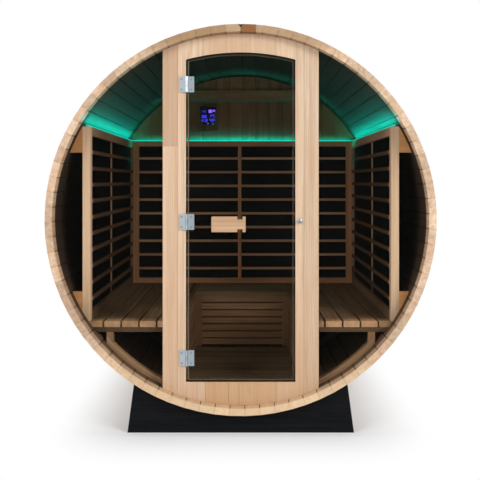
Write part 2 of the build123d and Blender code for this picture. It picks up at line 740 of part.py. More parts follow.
# Side heater guards
# Posts at both ends, rails top and bottom, a thin upright bar and level slats. Each guard stands
# on its bench, with its outer corners scribed to the staves.
guard_bottom_z = BENCH_TOP_Z + SEAT
guard_x = min(
    room_half_width(GUARD_TOP_Z) - POST_WIDTH,
    room_half_width(guard_bottom_z) - LEAST_POST_FOOT,
)
guard_outer_x = guard_x + POST_WIDTH
slat_outer_x = guard_x + SLAT_THICKNESS
side_rail_top_z = guard_bottom_z + SIDE_BOTTOM_RAIL
side_rail_bottom_z = GUARD_TOP_Z - SIDE_TOP_RAIL
rear_post_y = ROOM_BACK_Y - POST_DEPTH
rail_start_y = GUARD_START_Y + POST_DEPTH + SEAT
rail_end_y = rear_post_y - SEAT
bar_start_y = SIDE_MID_BAR_Y - MID_BAR_WIDTH / 2
with BuildPart() as side_guard_frames:
    for post_y in (GUARD_START_Y, rear_post_y):
        with BuildSketch(upright(post_y)):
            strip(guard_x, guard_outer_x, guard_bottom_z, GUARD_TOP_Z)
            scribe()
        extrude(amount=-POST_DEPTH)
    with BuildSketch(upright(rail_start_y)):
        strip(guard_x, guard_outer_x, guard_bottom_z, side_rail_top_z)
        strip(guard_x, guard_outer_x, side_rail_bottom_z, GUARD_TOP_Z)
        scribe()
    extrude(amount=rail_start_y - rail_end_y)
    with BuildSketch(upright(bar_start_y)):
        strip(
            slat_outer_x + SEAT,
            guard_outer_x,
            side_rail_top_z + SEAT,
            side_rail_bottom_z - SEAT,
        )
        scribe()
    extrude(amount=-MID_BAR_WIDTH)
    mirror(about=Plane.YZ)
side_guard_frames.part.label = "side_guard_frames"
export_step(side_guard_frames.part, "parts/side_guard_frames.step")

side_first_top = side_rail_bottom_z - SIDE_TOP_GAP
side_last_top = side_rail_top_z + SIDE_BOTTOM_GAP + SIDE_SLAT_HEIGHT
side_slat_pitch = (side_first_top - side_last_top) / (SIDE_SLATS - 1)
with BuildPart() as side_guard_slats:
    with BuildSketch(upright(rail_start_y)):
        for index in range(SIDE_SLATS):
            slat_top = side_first_top - index * side_slat_pitch
            strip(guard_x, slat_outer_x, slat_top - SIDE_SLAT_HEIGHT, slat_top)
    extrude(amount=rail_start_y - rail_end_y)
    mirror(about=Plane.YZ)
side_guard_slats.part.label = "side_guard_slats"
export_step(side_guard_slats.part, "parts/side_guard_slats.step")

heater_x = slat_outer_x + HEATER_GAP
bar_end_y = bar_start_y + MID_BAR_WIDTH
with BuildPart() as side_heater_panels:
    for start_y, end_y in (
        (rail_start_y, bar_start_y - SEAT),
        (bar_end_y + SEAT, rail_end_y),
    ):
        with BuildSketch(upright(start_y)):
            strip(
                heater_x,
                heater_x + HEATER_THICKNESS,
                side_rail_top_z + SEAT,
                side_rail_bottom_z - SEAT,
            )
            scribe()
        extrude(amount=start_y - end_y)
    mirror(about=Plane.YZ)
side_heater_panels.part.label = "side_heater_panels"
export_step(side_heater_panels.part, "parts/side_heater_panels.step")

# Infills
# Scribed boards between each front post and the staves, at the head and the foot of the post.
with BuildPart() as side_infills:
    with BuildSketch(upright(GUARD_START_Y)):
        for infill_bottom, infill_top in (
            (guard_bottom_z, guard_bottom_z + INFILL_BOTTOM_HEIGHT),
            (GUARD_TOP_Z - INFILL_TOP_HEIGHT, GUARD_TOP_Z),
        ):
            strip(guard_outer_x + SEAT, ROOM_RADIUS, infill_bottom, infill_top)
        scribe()
    extrude(amount=-INFILL_THICKNESS)
    mirror(about=Plane.YZ)
side_infills.part.label = "side_infills"
export_step(side_infills.part, "parts/side_infills.step")

# Back heater guard
# The same between the two side guards, with its upright bar a little left of the middle.
post_outer = guard_x - SEAT
post_inner = post_outer - POST_WIDTH
bay_edge = post_inner - SEAT
bar_left = BACK_MID_BAR_X - MID_BAR_WIDTH / 2
bar_right = BACK_MID_BAR_X + MID_BAR_WIDTH / 2
back_rail_top_z = guard_bottom_z + BACK_RAIL
back_rail_bottom_z = GUARD_TOP_Z - BACK_RAIL
with BuildPart() as back_guard_frame:
    with BuildSketch(upright(BACK_GUARD_Y)):
        for side in (-1, 1):
            strip(side * post_outer, side * post_inner, guard_bottom_z, GUARD_TOP_Z)
        strip(-bay_edge, bay_edge, guard_bottom_z, back_rail_top_z)
        strip(-bay_edge, bay_edge, back_rail_bottom_z, GUARD_TOP_Z)
        strip(bar_left, bar_right, back_rail_top_z + SEAT, back_rail_bottom_z - SEAT)
        scribe()
    extrude(amount=BACK_GUARD_Y - ROOM_BACK_Y)
back_guard_frame.part.label = "back_guard_frame"
export_step(back_guard_frame.part, "parts/back_guard_frame.step")

back_bays = ((-bay_edge, bar_left - SEAT), (bar_right + SEAT, bay_edge))
back_first_top = back_rail_bottom_z - BACK_TOP_GAP
back_last_top = back_rail_top_z + BACK_BOTTOM_GAP + BACK_SLAT_HEIGHT
back_slat_pitch = (back_first_top - back_last_top) / (BACK_SLATS - 1)
with BuildPart() as back_guard_slats:
    with BuildSketch(upright(BACK_GUARD_Y)):
        for bay_start, bay_end in back_bays:
            for index in range(BACK_SLATS):
                slat_top = back_first_top - index * back_slat_pitch
                strip(bay_start, bay_end, slat_top - BACK_SLAT_HEIGHT, slat_top)
    extrude(amount=-SLAT_THICKNESS)
back_guard_slats.part.label = "back_guard_slats"
export_step(back_guard_slats.part, "parts/back_guard_slats.step")

with BuildPart() as back_heater_panels:
    with BuildSketch(upright(BACK_GUARD_Y + SLAT_THICKNESS + HEATER_GAP)):
        for bay_start, bay_end in back_bays:
            strip(bay_start, bay_end, back_rail_top_z + SEAT, back_rail_bottom_z - SEAT)
    extrude(amount=-HEATER_THICKNESS)
back_heater_panels.part.label = "back_heater_panels"
export_step(back_heater_panels.part, "parts/back_heater_panels.step")

# Light strips
# Slim channels on top of the three guards and under the batten.
light_x = guard_x + LIGHT_OFFSET
light_bottom_z = GUARD_TOP_Z + SEAT
light_top_z = light_bottom_z + LIGHT_HEIGHT
batten_light_z = batten_bottom_z - SEAT
batten_light_half = room_half_width(batten_top_z)
with BuildPart() as light_strips:
    with BuildSketch(upright(GUARD_START_Y)):
        for side in (-1, 1):
            strip(side * light_x, side * (light_x + LIGHT_WIDTH), light_bottom_z, light_top_z)
    extrude(amount=GUARD_START_Y - ROOM_BACK_Y)
    with BuildSketch(upright(BACK_GUARD_Y + LIGHT_OFFSET)):
        strip(-guard_x, guard_x, light_bottom_z, light_top_z)
    extrude(amount=-LIGHT_WIDTH)
    with BuildSketch(upright(ROOM_BACK_Y)):
        strip(
            -batten_light_half,
            batten_light_half,
            batten_light_z - LIGHT_HEIGHT,
            batten_light_z,
        )
    extrude(amount=LIGHT_WIDTH)
light_strips.part.label = "light_strips"
export_step(light_strips.part, "parts/light_strips.step")
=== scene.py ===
import math

import bmesh
import bpy
from mathutils import Matrix, Vector


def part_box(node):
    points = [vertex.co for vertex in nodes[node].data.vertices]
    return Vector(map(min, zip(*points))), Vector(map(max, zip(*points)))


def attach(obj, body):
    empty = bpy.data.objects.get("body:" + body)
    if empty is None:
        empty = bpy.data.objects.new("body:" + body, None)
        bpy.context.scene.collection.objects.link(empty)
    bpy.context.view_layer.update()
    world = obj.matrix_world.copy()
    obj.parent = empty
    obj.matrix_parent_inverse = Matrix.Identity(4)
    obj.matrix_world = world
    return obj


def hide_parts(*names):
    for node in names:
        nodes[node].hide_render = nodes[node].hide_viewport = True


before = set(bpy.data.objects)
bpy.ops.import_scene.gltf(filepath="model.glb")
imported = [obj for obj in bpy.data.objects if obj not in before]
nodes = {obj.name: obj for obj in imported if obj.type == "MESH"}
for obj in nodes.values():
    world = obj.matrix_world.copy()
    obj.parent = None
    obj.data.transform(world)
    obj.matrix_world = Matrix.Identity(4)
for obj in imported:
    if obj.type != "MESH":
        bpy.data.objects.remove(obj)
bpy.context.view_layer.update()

# Studio
# A plain pale floor that turns white away from the sauna, a white surround, two broad soft lamps
# to the sides in front and one overhead, and the camera straight before the glazed end.


class Flow:
    """One output in a node tree. Sums written with it add Math nodes to the tree."""

    def __init__(self, tree, socket=None):
        self.tree = tree
        self.socket = socket

    def node(self, kind, settings=None, values=None, out=0):
        """Add a node, with its settings first and then its values and links."""
        added = self.tree.nodes.new(kind)
        for name, value in (settings or {}).items():
            setattr(added, name, value)
        for name, value in (values or {}).items():
            if isinstance(name, int):
                socket = added.inputs[name]
            else:
                socket = next(s for s in added.inputs if s.name == name and s.enabled)
            if isinstance(value, Flow):
                self.tree.links.new(value.socket, socket)
            else:
                socket.default_value = value
        return Flow(self.tree, added.outputs[out] if added.outputs else None)

    def also(self, name):
        """Another output of the same node."""
        return Flow(self.tree, self.socket.node.outputs[name])

    def maths(self, operation, first, second=0.0):
        return self.node("ShaderNodeMath", {"operation": operation}, {0: first, 1: second})

    def __add__(self, other):
        return self.maths("ADD", self, other)

    def __radd__(self, other):
        return self.maths("ADD", other, self)

    def __sub__(self, other):
        return self.maths("SUBTRACT", self, other)

    def __rsub__(self, other):
        return self.maths("SUBTRACT", other, self)

    def __mul__(self, other):
        return self.maths("MULTIPLY", self, other)

    def __rmul__(self, other):
        return self.maths("MULTIPLY", other, self)

    def __truediv__(self, other):
        return self.maths("DIVIDE", self, other)

    def __abs__(self):
        return self.maths("ABSOLUTE", self)

    def whole(self):
        return self.maths("FLOOR", self)

    def rest(self):
        return self.maths("FRACT", self)

    def root(self):
        return self.maths("SQRT", self)

    def power(self, exponent):
        return self.maths("POWER", self, exponent)

    def over(self, limit):
        return self.maths("GREATER_THAN", self, limit)

    def under(self, limit):
        return self.maths("LESS_THAN", self, limit)

    def most(self, other):
        return self.maths("MAXIMUM", self, other)

    def eased(self, low, high):
        """Nothing up to low, one from high, and a smooth rise between."""
        settings = {"interpolation_type": "SMOOTHSTEP"}
        return self.node("ShaderNodeMapRange", settings, {0: self, 1: low, 2: high})

    def choose(self, when_off, when_on):
        """The first value where this is nothing, the second where it is one."""
        return when_off + (when_on - when_off) * self

    def point(self, x, y, z):
        return self.node("ShaderNodeCombineXYZ", {}, {0: x, 1: y, 2: z})

    def noise(self, x, y, z, detail=2.0):
        values = {"Vector": self.point(x, y, z), "Scale": 1.0, "Detail": detail}
        return self.node("ShaderNodeTexNoise", {}, values)

    def mix(self, amount, first, second):
        colours = [c if isinstance(c, Flow) else (*c, 1) for c in (first, second)]
        values = {0: amount, 6: colours[0], 7: colours[1]}
        return self.node("ShaderNodeMix", {"data_type": "RGBA"}, values, out=2)

    def dim(self, amount):
        """The same colour with this share of its brightness."""
        return self.node("ShaderNodeVectorMath", {"operation": "SCALE"}, {0: self, 3: amount})

    def places(self):
        """The object's own coordinates, as three outputs."""
        here = self.node("ShaderNodeTexCoord", out="Object")
        split = self.node("ShaderNodeSeparateXYZ", {}, {0: here})
        return split, split.also("Y"), split.also("Z")

    def seen(self):
        """One on rays from the camera, gloss and clear surfaces, nothing on other rays."""
        path = self.node("ShaderNodeLightPath", out="Is Camera Ray")
        return path.most(path.also("Is Glossy Ray")).most(path.also("Is Transmission Ray"))


def new_material(name):
    """A material with an empty node tree."""
    material = bpy.data.materials.new(name)
    material.use_nodes = True
    material.node_tree.nodes.clear()
    return material, Flow(material.node_tree)


def close_material(flow, values):
    """Join a surface with these values to the material's output."""
    surface = flow.node("ShaderNodeBsdfPrincipled", {}, values)
    flow.node("ShaderNodeOutputMaterial", {}, {"Surface": surface})


SURROUND_FILL = 0.3
world = bpy.data.worlds.new("studio_surround")
bpy.context.scene.world = world
world.use_nodes = True
world.node_tree.nodes.clear()
sky = Flow(world.node_tree)
strength = SURROUND_FILL + (1 - SURROUND_FILL) * sky.seen()
surround = sky.node("ShaderNodeBackground", {}, {"Color": (1, 1, 1, 1), "Strength": strength})
sky.node("ShaderNodeOutputWorld", {}, {"Surface": surround})

FLOOR_SIZE = 40
SHADE_HALF_WIDTH = 0.5
SHADE_HALF_DEPTH = 0.7
SHADE_FADE = (0.02, 0.5)
LEAST_WHITE = 0.1
floor_mesh = bpy.data.meshes.new("studio_floor")
half = FLOOR_SIZE / 2
floor_corners = [(-half, -half, 0), (half, -half, 0), (half, half, 0), (-half, half, 0)]
floor_mesh.from_pydata(floor_corners, [], [(0, 1, 2, 3)])
studio_floor = bpy.data.objects.new("studio_floor", floor_mesh)
bpy.context.scene.collection.objects.link(studio_floor)
floor_material, flow = new_material("studio_floor")
x, y, _ = flow.places()
past_x = (abs(x) - SHADE_HALF_WIDTH).most(0)
past_y = (abs(y) - SHADE_HALF_DEPTH).most(0)
away = (past_x * past_x + past_y * past_y).root().eased(*SHADE_FADE)
whiteness = (LEAST_WHITE + (1 - LEAST_WHITE) * away) * flow.seen()
paint = flow.node("ShaderNodeBsdfDiffuse", {}, {"Color": (0.90, 0.92, 0.95, 1)})
white = flow.node("ShaderNodeEmission", {}, {"Color": (1, 1, 1, 1), "Strength": 1.0})
floor_look = flow.node("ShaderNodeMixShader", {}, {0: whiteness, 1: paint, 2: white})
flow.node("ShaderNodeOutputMaterial", {}, {"Surface": floor_look})
floor_mesh.materials.append(floor_material)

for lamp_name, place, aim, size, power in (
    ("lamp_right", (3.6, -3.9, 3.2), (0, -0.7, 1.1), 2.2, 165),
    ("lamp_left", (-3.6, -3.9, 3.0), (0, -0.7, 1.1), 2.6, 122),
    ("lamp_above", (0, 0.2, 5.2), (0, 0, 0), 3.0, 120),
):
    lamp_data = bpy.data.lights.new(lamp_name, "AREA")
    lamp_data.size = size
    lamp_data.energy = power
    lamp = bpy.data.objects.new(lamp_name, lamp_data)
    lamp.location = place
    lamp.rotation_euler = (Vector(aim) - Vector(place)).to_track_quat("-Z", "Y").to_euler()
    bpy.context.scene.collection.objects.link(lamp)

camera_data = bpy.data.cameras.new("camera")
camera_data.lens = 52.5
camera_data.sensor_width = 36
camera_data.shift_x = -0.0146
camera_data.shift_y = -0.123
camera = bpy.data.objects.new("camera", camera_data)
camera.location = (0.032, -4.3, 1.28)
camera.rotation_euler = (math.pi / 2, 0, 0)
bpy.context.scene.collection.objects.link(camera)
bpy.context.scene.camera = camera
bpy.context.scene.view_settings.view_transform = "Standard"

# Stave shell
# Eighty flat staves of golden softwood in a ring, joined by tongues and grooves, with a black V
# painted at the top joint's ends. The joints are brown, and painted shade darkens the inner edges,
# the ends towards the top and the whole inside.
AXIS_Z = 1.085
ROOM_RADIUS = 0.9417
CLOSING_TURN = math.radians(2.0)
STAVE_TURN = math.radians(358 / 79)
STAVE_MIDDLE = 0.961
INNER_SIDE = 0.972
CUT_END = 0.7995
GLASS_PLANE = (-0.756, -0.746)
ROOM_END = 0.739
CLOSING_BOARD = 78.5
HEARTWOOD_BOARD = 0.5
BLACK_V_TIP = 2.0480
BLACK_V_SLOPE = 1.4
BLACK_V_HALF_WIDTH = 0.013
BOARD_SHIFT = 7.31
PITH_SPREAD = 0.16
FIBRE_FINENESS = 520
STREAK_FINENESS = 46
CLOUD_FINENESS = 95


def solid_wood(flow, run, width, depth, board, pale, deep, ring_gap=0.0052, spread=0.3):
    """Colour and relief of sawn softwood at a place in a board, which its number makes its own."""
    chance = flow.node(
        "ShaderNodeTexWhiteNoise", {"noise_dimensions": "1D"}, {"W": board + 0.37}, out="Color"
    )
    first = flow.node("ShaderNodeSeparateXYZ", {}, {0: chance})
    second = first.also("Y")
    third = first.also("Z")
    shift = board * BOARD_SHIFT
    bend = flow.noise(width * 9, depth * 9, run * 0.9 + shift)
    pith_width = width + (first - 0.5) * PITH_SPREAD
    pith_depth = depth + 0.03 + second * 0.1
    reach = (pith_width * pith_width + pith_depth * pith_depth).root()
    late = (reach / ring_gap + bend * 7).rest().power(2.2)
    fibre = flow.noise(width * FIBRE_FINENESS, depth * FIBRE_FINENESS, run * 11 + shift, 3.0)
    streak = flow.noise(width * STREAK_FINENESS, depth * STREAK_FINENESS, run * 1.3 + shift, 3.0)
    cloud = flow.noise(width * CLOUD_FINENESS + 3, depth * CLOUD_FINENESS, run * 6 + shift, 2.0)
    amount = (late * 0.36 + fibre * 0.4 + streak * 1.6 + cloud * 0.8 - 1.12).most(0)
    colour = flow.mix(amount, pale, deep)
    warm = tuple(channel * share for channel, share in zip(deep, (1.12, 0.92, 0.8)))
    colour = flow.mix(third * 0.3, colour, warm).dim(1 - spread / 2 + second * spread)
    return colour, fibre * 0.5 + late * 0.5


def wood_values(flow, colour, relief, relief_depth=0.0006, sheen=0.3):
    """Socket values of a planed softwood surface."""
    bump = {"Height": relief, "Strength": 0.4, "Distance": relief_depth}
    return {
        "Base Color": colour,
        "Roughness": 0.55 + relief * 0.22,
        "Specular IOR Level": sheen,
        "Normal": flow.node("ShaderNodeBump", {}, bump),
    }


def dress(material, *names):
    """Give CAD nodes this material."""
    for name in names:
        if not nodes[name].material_slots:
            nodes[name].data.materials.append(material)
        for slot in nodes[name].material_slots:
            slot.material = material


stave_wood, flow = new_material("stave_wood")
x, y, z = flow.places()
up = z - AXIS_Z
turn = flow.maths("ARCTAN2", x, up)
turn = turn + turn.under(0) * math.tau
turn = turn + turn.over(STAVE_TURN + CLOSING_TURN) * (STAVE_TURN - CLOSING_TURN)
order = turn / STAVE_TURN
board = order.whole()
across = order.rest() - 0.5
radius = (x * x + up * up).root()
colour, relief = solid_wood(
    flow,
    y,
    across * STAVE_TURN * radius,
    radius - STAVE_MIDDLE,
    board,
    pale=(0.74, 0.56, 0.41),
    deep=(0.44, 0.275, 0.155),
    ring_gap=0.0042,
    spread=0.34,
)
# Painted shade: the ends darken towards the top of the ring, more on the left side.
top_painted_shade = z.eased(1.88, 2.01) * x.under(0).choose(0.75, 0.9)
colour = flow.mix(top_painted_shade, colour, (0.34, 0.21, 0.105))
colour = flow.mix(board.over(CLOSING_BOARD) * 0.5, colour, (0.52, 0.37, 0.225))
colour = flow.mix(board.under(HEARTWOOD_BOARD) * 0.95, colour, (0.24, 0.095, 0.032))
# The stave ends are painted black in a V round the top joint.
black_v = (z - abs(x) * BLACK_V_SLOPE).over(BLACK_V_TIP) * abs(x).under(BLACK_V_HALF_WIDTH)
colour = flow.mix(black_v, colour, (0.004, 0.004, 0.004))
colour = flow.mix((1 - z.eased(0.12, 0.5)) * 0.6, colour, (0.84, 0.595, 0.35))
inner_face = radius.under(INNER_SIDE) * y.over(-CUT_END) * y.under(CUT_END)
# Painted shade: the ends are browner at the ring's inner edge.
colour = flow.mix((1 - radius.eased(0.944, 0.948)) * 0.28, colour, (0.26, 0.13, 0.055))
# Painted shade: behind the glass the staves' inner faces are darker and browner, most towards the
# top, and their joints near black.
inside = inner_face * y.eased(*GLASS_PLANE) * y.under(ROOM_END)
shade_rise = z.eased(0.35, 0.9)
shade_brown = flow.mix(shade_rise, (0.12, 0.065, 0.030), (0.042, 0.022, 0.011))
inside_shade = flow.mix(0.6, colour.dim(shade_rise.choose(0.36, 0.06)), shade_brown)
colour = flow.mix(inside, colour, inside_shade)
joint = abs(across).eased(0.452, 0.49) * inner_face.choose(0.16, 0.9)
colour = flow.mix(joint, colour, flow.mix(inside, (0.11, 0.05, 0.02), (0.004, 0.003, 0.002)))
values = wood_values(flow, colour, relief, sheen=0.2)
values["Roughness"] = values["Roughness"] + inside * 0.25
close_material(flow, values)
for part in ("top", "upper", "lower", "bottom"):
    dress(stave_wood, f"staves_{part}_left", f"staves_{part}_right")

# Top seal
# A bead of black rubber pressed into the open notch of the top joint, along the whole barrel. It
# fills the notch from its tip and is slightly dished on top.
SEAL_HALF_WIDTH = 0.0081
SEAL_TIP = 2.0570
SEAL_EDGE = 2.0648
SEAL_DISH = 2.0640
SEAL_DISH_HALF_WIDTH = 0.004
SEAL_START = -0.7998
SEAL_STEP = 0.0533
SEAL_STEPS = 30
seal_section = [
    (-SEAL_HALF_WIDTH, SEAL_EDGE),
    (0, SEAL_TIP),
    (SEAL_HALF_WIDTH, SEAL_EDGE),
    (SEAL_DISH_HALF_WIDTH, SEAL_DISH),
    (-SEAL_DISH_HALF_WIDTH, SEAL_DISH),
]
seal_shape = bmesh.new()
seal_rings = [
    [seal_shape.verts.new((x, SEAL_START + SEAL_STEP * step, z)) for x, z in seal_section]
    for step in range(SEAL_STEPS + 1)
]
for near, far in zip(seal_rings, seal_rings[1:]):
    for corner in range(len(seal_section)):
        seal_shape.faces.new((near[corner - 1], near[corner], far[corner], far[corner - 1]))
seal_shape.faces.new(seal_rings[0][::-1])
seal_shape.faces.new(seal_rings[-1])
bmesh.ops.recalc_face_normals(seal_shape, faces=seal_shape.faces)
seal_mesh = bpy.data.meshes.new("top_seal")
seal_shape.to_mesh(seal_mesh)
seal_shape.free()
top_seal = bpy.data.objects.new("top_seal", seal_mesh)
bpy.context.scene.collection.objects.link(top_seal)
seal_rubber, flow = new_material("seal_rubber")
x, y, z = flow.places()
pits = flow.noise(x * 400, y * 400, z * 400, 3.0)
bump = {"Height": pits, "Strength": 0.3, "Distance": 0.0003}
values = {
    "Base Color": flow.mix(pits, (0.012, 0.012, 0.013), (0.028, 0.027, 0.026)),
    "Roughness": 0.6 + pits * 0.25,
    "Specular IOR Level": 0.2,
    "Normal": flow.node("ShaderNodeBump", {}, bump),
}
close_material(flow, values)
seal_mesh.materials.append(seal_rubber)
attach(top_seal, "cabin")

# Steel bands and their clamps
# Two straps of brushed strip steel pulled round the staves, each closed by a bolted clamp low on
# one side, which can be tightened when the wood dries.


def steel_material(name, colour, brush, tarnish=0.0):
    """Satin steel, brushed across the direction in which brush has its large number."""
    material, flow = new_material(name)
    x, y, z = flow.places()
    lines = flow.noise(x * brush[0], y * brush[1], z * brush[2], 3.0)
    cloud = flow.noise(x * 30, y * 30, z * 30, 2.0)
    dull = tuple(channel * 0.72 for channel in colour)
    tint = flow.mix((lines * 0.6 + cloud * 0.4 - 0.2 + tarnish).most(0), colour, dull)
    bump = {"Height": lines, "Strength": 0.25, "Distance": 0.0002}
    values = {
        "Base Color": tint,
        "Metallic": 1.0,
        "Roughness": 0.2 + lines * 0.22,
        "Normal": flow.node("ShaderNodeBump", {}, bump),
    }
    close_material(flow, values)
    return material


band_steel = steel_material("band_steel", (0.44, 0.45, 0.46), (6, 900, 6), 0.1)
dress(band_steel, "steel_bands", "band_clamps")

# Cradles
# Two thick boards stained charcoal, one under each end of the barrel, with sloping ends and a
# curved seat that the staves lie in.
cradle_stain, flow = new_material("cradle_stain")
x, y, z = flow.places()
colour, relief = solid_wood(
    flow, x, z - 0.15, y, y.over(0) + 3, (0.008, 0.0088, 0.0098), (0.0035, 0.004, 0.0045)
)
close_material(flow, wood_values(flow, colour, relief, sheen=0.06))
dress(cradle_stain, "cradle_front", "cradle_rear")

# Front wall
# Pale upright boards from ring to ring, the outer left one in two lengths. The boards beside the
# doorway are notched round it, and all front edges are eased so that each joint is a fine V.
WALL_FRONT = -0.758
WALL_BACK = -0.713
FRONT_EASE = 0.0010
JOINT_GAP = 0.00015
RING_GAP = 0.0002
ARCH_CENTRE_Z = 0.8536
ARCH_RADIUS = 1.0769
DOORWAY_EDGE = 0.278
DOORWAY_SILL = 0.263
PANEL_EDGE = 0.395
OUTER_JOINT = 0.320
LENGTH_JOINT = 1.457
HEADER_JOINTS = (-0.192, -0.073, 0.048, 0.180)
SILL_JOINTS = (-0.179, -0.062, -0.009, 0.179)
SEAM_HALF_WIDTH = (0.0008, 0.0026)


def crown(x):
    """Height of the inner side of the staves over a place across the wall."""
    return AXIS_Z + math.sqrt((ROOM_RADIUS - RING_GAP) ** 2 - x * x)


def keel(x):
    """Height of the inner side of the staves below it."""
    return 2 * AXIS_Z - crown(x)


def arch(x):
    """Height of the doorway's head."""
    return ARCH_CENTRE_Z + math.sqrt(ARCH_RADIUS**2 - x * x)


def along(start, end, height, steps=6):
    """Points on a curved edge between two places across the wall."""
    places = [start + (end - start) * step / steps for step in range(steps + 1)]
    return [(place, height(place)) for place in places]


def board_wall(name, outlines, front, back, ease, ease_back=0.0):
    """Upright boards from their outlines. Faces carry their board's number and middle."""
    shape = bmesh.new()
    number = shape.faces.layers.float.new("board")
    middle = shape.faces.layers.float.new("middle")
    for index, outline in enumerate(outlines):
        before = set(shape.faces)
        face = [shape.verts.new((x, front, z)) for x, z in outline]
        rear = [shape.verts.new((x, back, z)) for x, z in outline]
        for step in range(len(outline)):
            shape.faces.new((face[step - 1], face[step], rear[step], rear[step - 1]))
        eased_faces = [(shape.faces.new(face), ease), (shape.faces.new(rear[::-1]), ease_back)]
        for cap, amount in eased_faces:
            if amount:
                edges = list(cap.edges)
                bmesh.ops.bevel(
                    shape, geom=edges, offset=amount, segments=2, profile=0.5, affect="EDGES"
                )
        centre = (min(x for x, z in outline) + max(x for x, z in outline)) / 2
        for part in shape.faces:
            if part not in before:
                part[number] = index
                part[middle] = centre
    bmesh.ops.recalc_face_normals(shape, faces=shape.faces)
    mesh = bpy.data.meshes.new(name)
    shape.to_mesh(mesh)
    shape.free()
    wall = bpy.data.objects.new(name, mesh)
    bpy.context.scene.collection.objects.link(wall)
    return wall


def inset(start, end):
    """A board's edges, drawn in by half the joint's gap at each side."""
    gap = JOINT_GAP if start < end else -JOINT_GAP
    return start + gap, end - gap


start, end = inset(-PANEL_EDGE, -OUTER_JOINT)
upper_end = LENGTH_JOINT + RING_GAP
lower_end = LENGTH_JOINT - RING_GAP
front_outlines = [
    [*along(start, end, crown), (end, upper_end), (start, upper_end)],
    [(start, lower_end), (end, lower_end), *along(end, start, keel)],
]
start, end = inset(OUTER_JOINT, PANEL_EDGE)
front_outlines.append([*along(start, end, crown), *along(end, start, keel)])
for joint, header, sill, jamb in (
    (-OUTER_JOINT, HEADER_JOINTS[0], SILL_JOINTS[0], -DOORWAY_EDGE),
    (OUTER_JOINT, HEADER_JOINTS[-1], SILL_JOINTS[-1], DOORWAY_EDGE),
):
    outer, header = inset(joint, header)
    outer, sill = inset(joint, sill)
    front_outlines.append(
        [
            *along(outer, header, crown),
            *along(header, jamb, arch),
            (jamb, DOORWAY_SILL),
            (sill, DOORWAY_SILL),
            *along(sill, outer, keel),
        ]
    )
for joints in zip(HEADER_JOINTS, HEADER_JOINTS[1:]):
    start, end = inset(*joints)
    front_outlines.append([*along(start, end, crown), *along(end, start, arch)])
for joints in zip(SILL_JOINTS, SILL_JOINTS[1:]):
    start, end = inset(*joints)
    front_outlines.append(
        [(start, DOORWAY_SILL), (end, DOORWAY_SILL), *along(end, start, keel)]
    )
front_boards = board_wall("front_boards", front_outlines, WALL_FRONT, WALL_BACK, FRONT_EASE)

front_wood, flow = new_material("front_wood")
x, y, z = flow.places()
board = flow.node("ShaderNodeAttribute", {"attribute_name": "board"}, out="Fac")
middle = flow.node("ShaderNodeAttribute", {"attribute_name": "middle"}, out="Fac")
colour, relief = solid_wood(
    flow,
    z,
    x - middle,
    y + 0.73,
    board + 21,
    pale=(0.77, 0.59, 0.435),
    deep=(0.50, 0.335, 0.205),
    ring_gap=0.0065,
    spread=0.22,
)
colour = flow.mix(board.under(0.5) * 0.7, colour, (0.46, 0.29, 0.19))
# Painted shade: the outer right board is darker.
colour = flow.mix(board.over(1.5) * board.under(2.5), colour, colour.dim(0.86))
# Painted shade: the header boards under the overhang of the ring are darker.
colour = flow.mix(board.over(4.5) * board.under(7.5) * 0.4, colour, (0.60, 0.40, 0.25))
# Painted shade: the sill boards are darker, and more orange.
colour = flow.mix(board.over(7.5) * 0.75, colour, (0.54, 0.31, 0.145))
blush = flow.noise(x * 7 + 5, board * 3.3, z * 1.6, 2.0).eased(0.42, 0.62)
colour = flow.mix(blush * 0.3, colour, (0.60, 0.37, 0.22))
# Painted shade: the boards beside and outside the doorway darken towards the bottom, the right one
# beside it most.
low = (1 - z.eased(0.25, 0.95)) * board.under(4.5)
low_right_shade = board.over(3.5) * board.under(4.5) * (1 - z.eased(0.3, 1.1))
colour = flow.mix((low * 0.3).most(low_right_shade * 0.6), colour, (0.58, 0.36, 0.205))
seams = [(-OUTER_JOINT, 0.0, 2.1), (OUTER_JOINT, 0.0, 2.1)]
seams += [(seam_x, 1.85, 2.1) for seam_x in HEADER_JOINTS]
seams += [(seam_x, 0.0, 0.27) for seam_x in SILL_JOINTS]
seam = z.under(-1)
for seam_x, lowest, highest in seams:
    line = 1 - abs(x - seam_x).eased(*SEAM_HALF_WIDTH)
    seam = seam.most(line * z.over(lowest) * z.under(highest))
colour = flow.mix(seam * 0.28, colour, (0.34, 0.19, 0.10))
# Painted shade: the doorway's reveal behind the front face is near black.
reveal_shade = y.eased(WALL_FRONT + 0.0005, WALL_FRONT + 0.003)
colour = flow.mix(reveal_shade * 0.97, colour, (0.012, 0.007, 0.004))
close_material(flow, wood_values(flow, colour, relief, sheen=0.2))
front_boards.data.materials.append(front_wood)
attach(front_boards, "cabin")
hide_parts("front_stile_left", "front_stile_right", "front_header", "front_sill")

# Windows and door glass
# Clear toughened panes with polished edges, which show as a fine brown line round the door. The
# windows are held between the front wall and the staves, and the door pane hangs in its hinges.
LEFT_RIM = (-0.2625, -0.2605)
RIGHT_RIM = (0.2615, 0.2625)
ARCH_RIM = (1.0605, 1.0620)
BOTTOM_RIM = (0.276, 0.279)
WINDOW_RIM = 0.3995
GLASS_CLEAR = (0.012, 0.016, 0.015)
GLASS_EDGE = (0.15, 0.105, 0.064)


def glass_material(name, rim):
    """Clear glass. rim(x, z) is one on the edge of the pane and nothing on its face."""
    material, flow = new_material(name)
    x, y, z = flow.places()
    edge = rim(x, z)
    smear = flow.noise(x * 5, y * 5, z * 3, 2.0)
    values = {
        "Base Color": flow.mix(edge, GLASS_CLEAR, GLASS_EDGE),
        "Roughness": 0.02 + smear * 0.05,
        "Alpha": 0.03 + smear * 0.02 + edge * 0.7,
        "Specular IOR Level": 0.2,
    }
    close_material(flow, values)
    return material


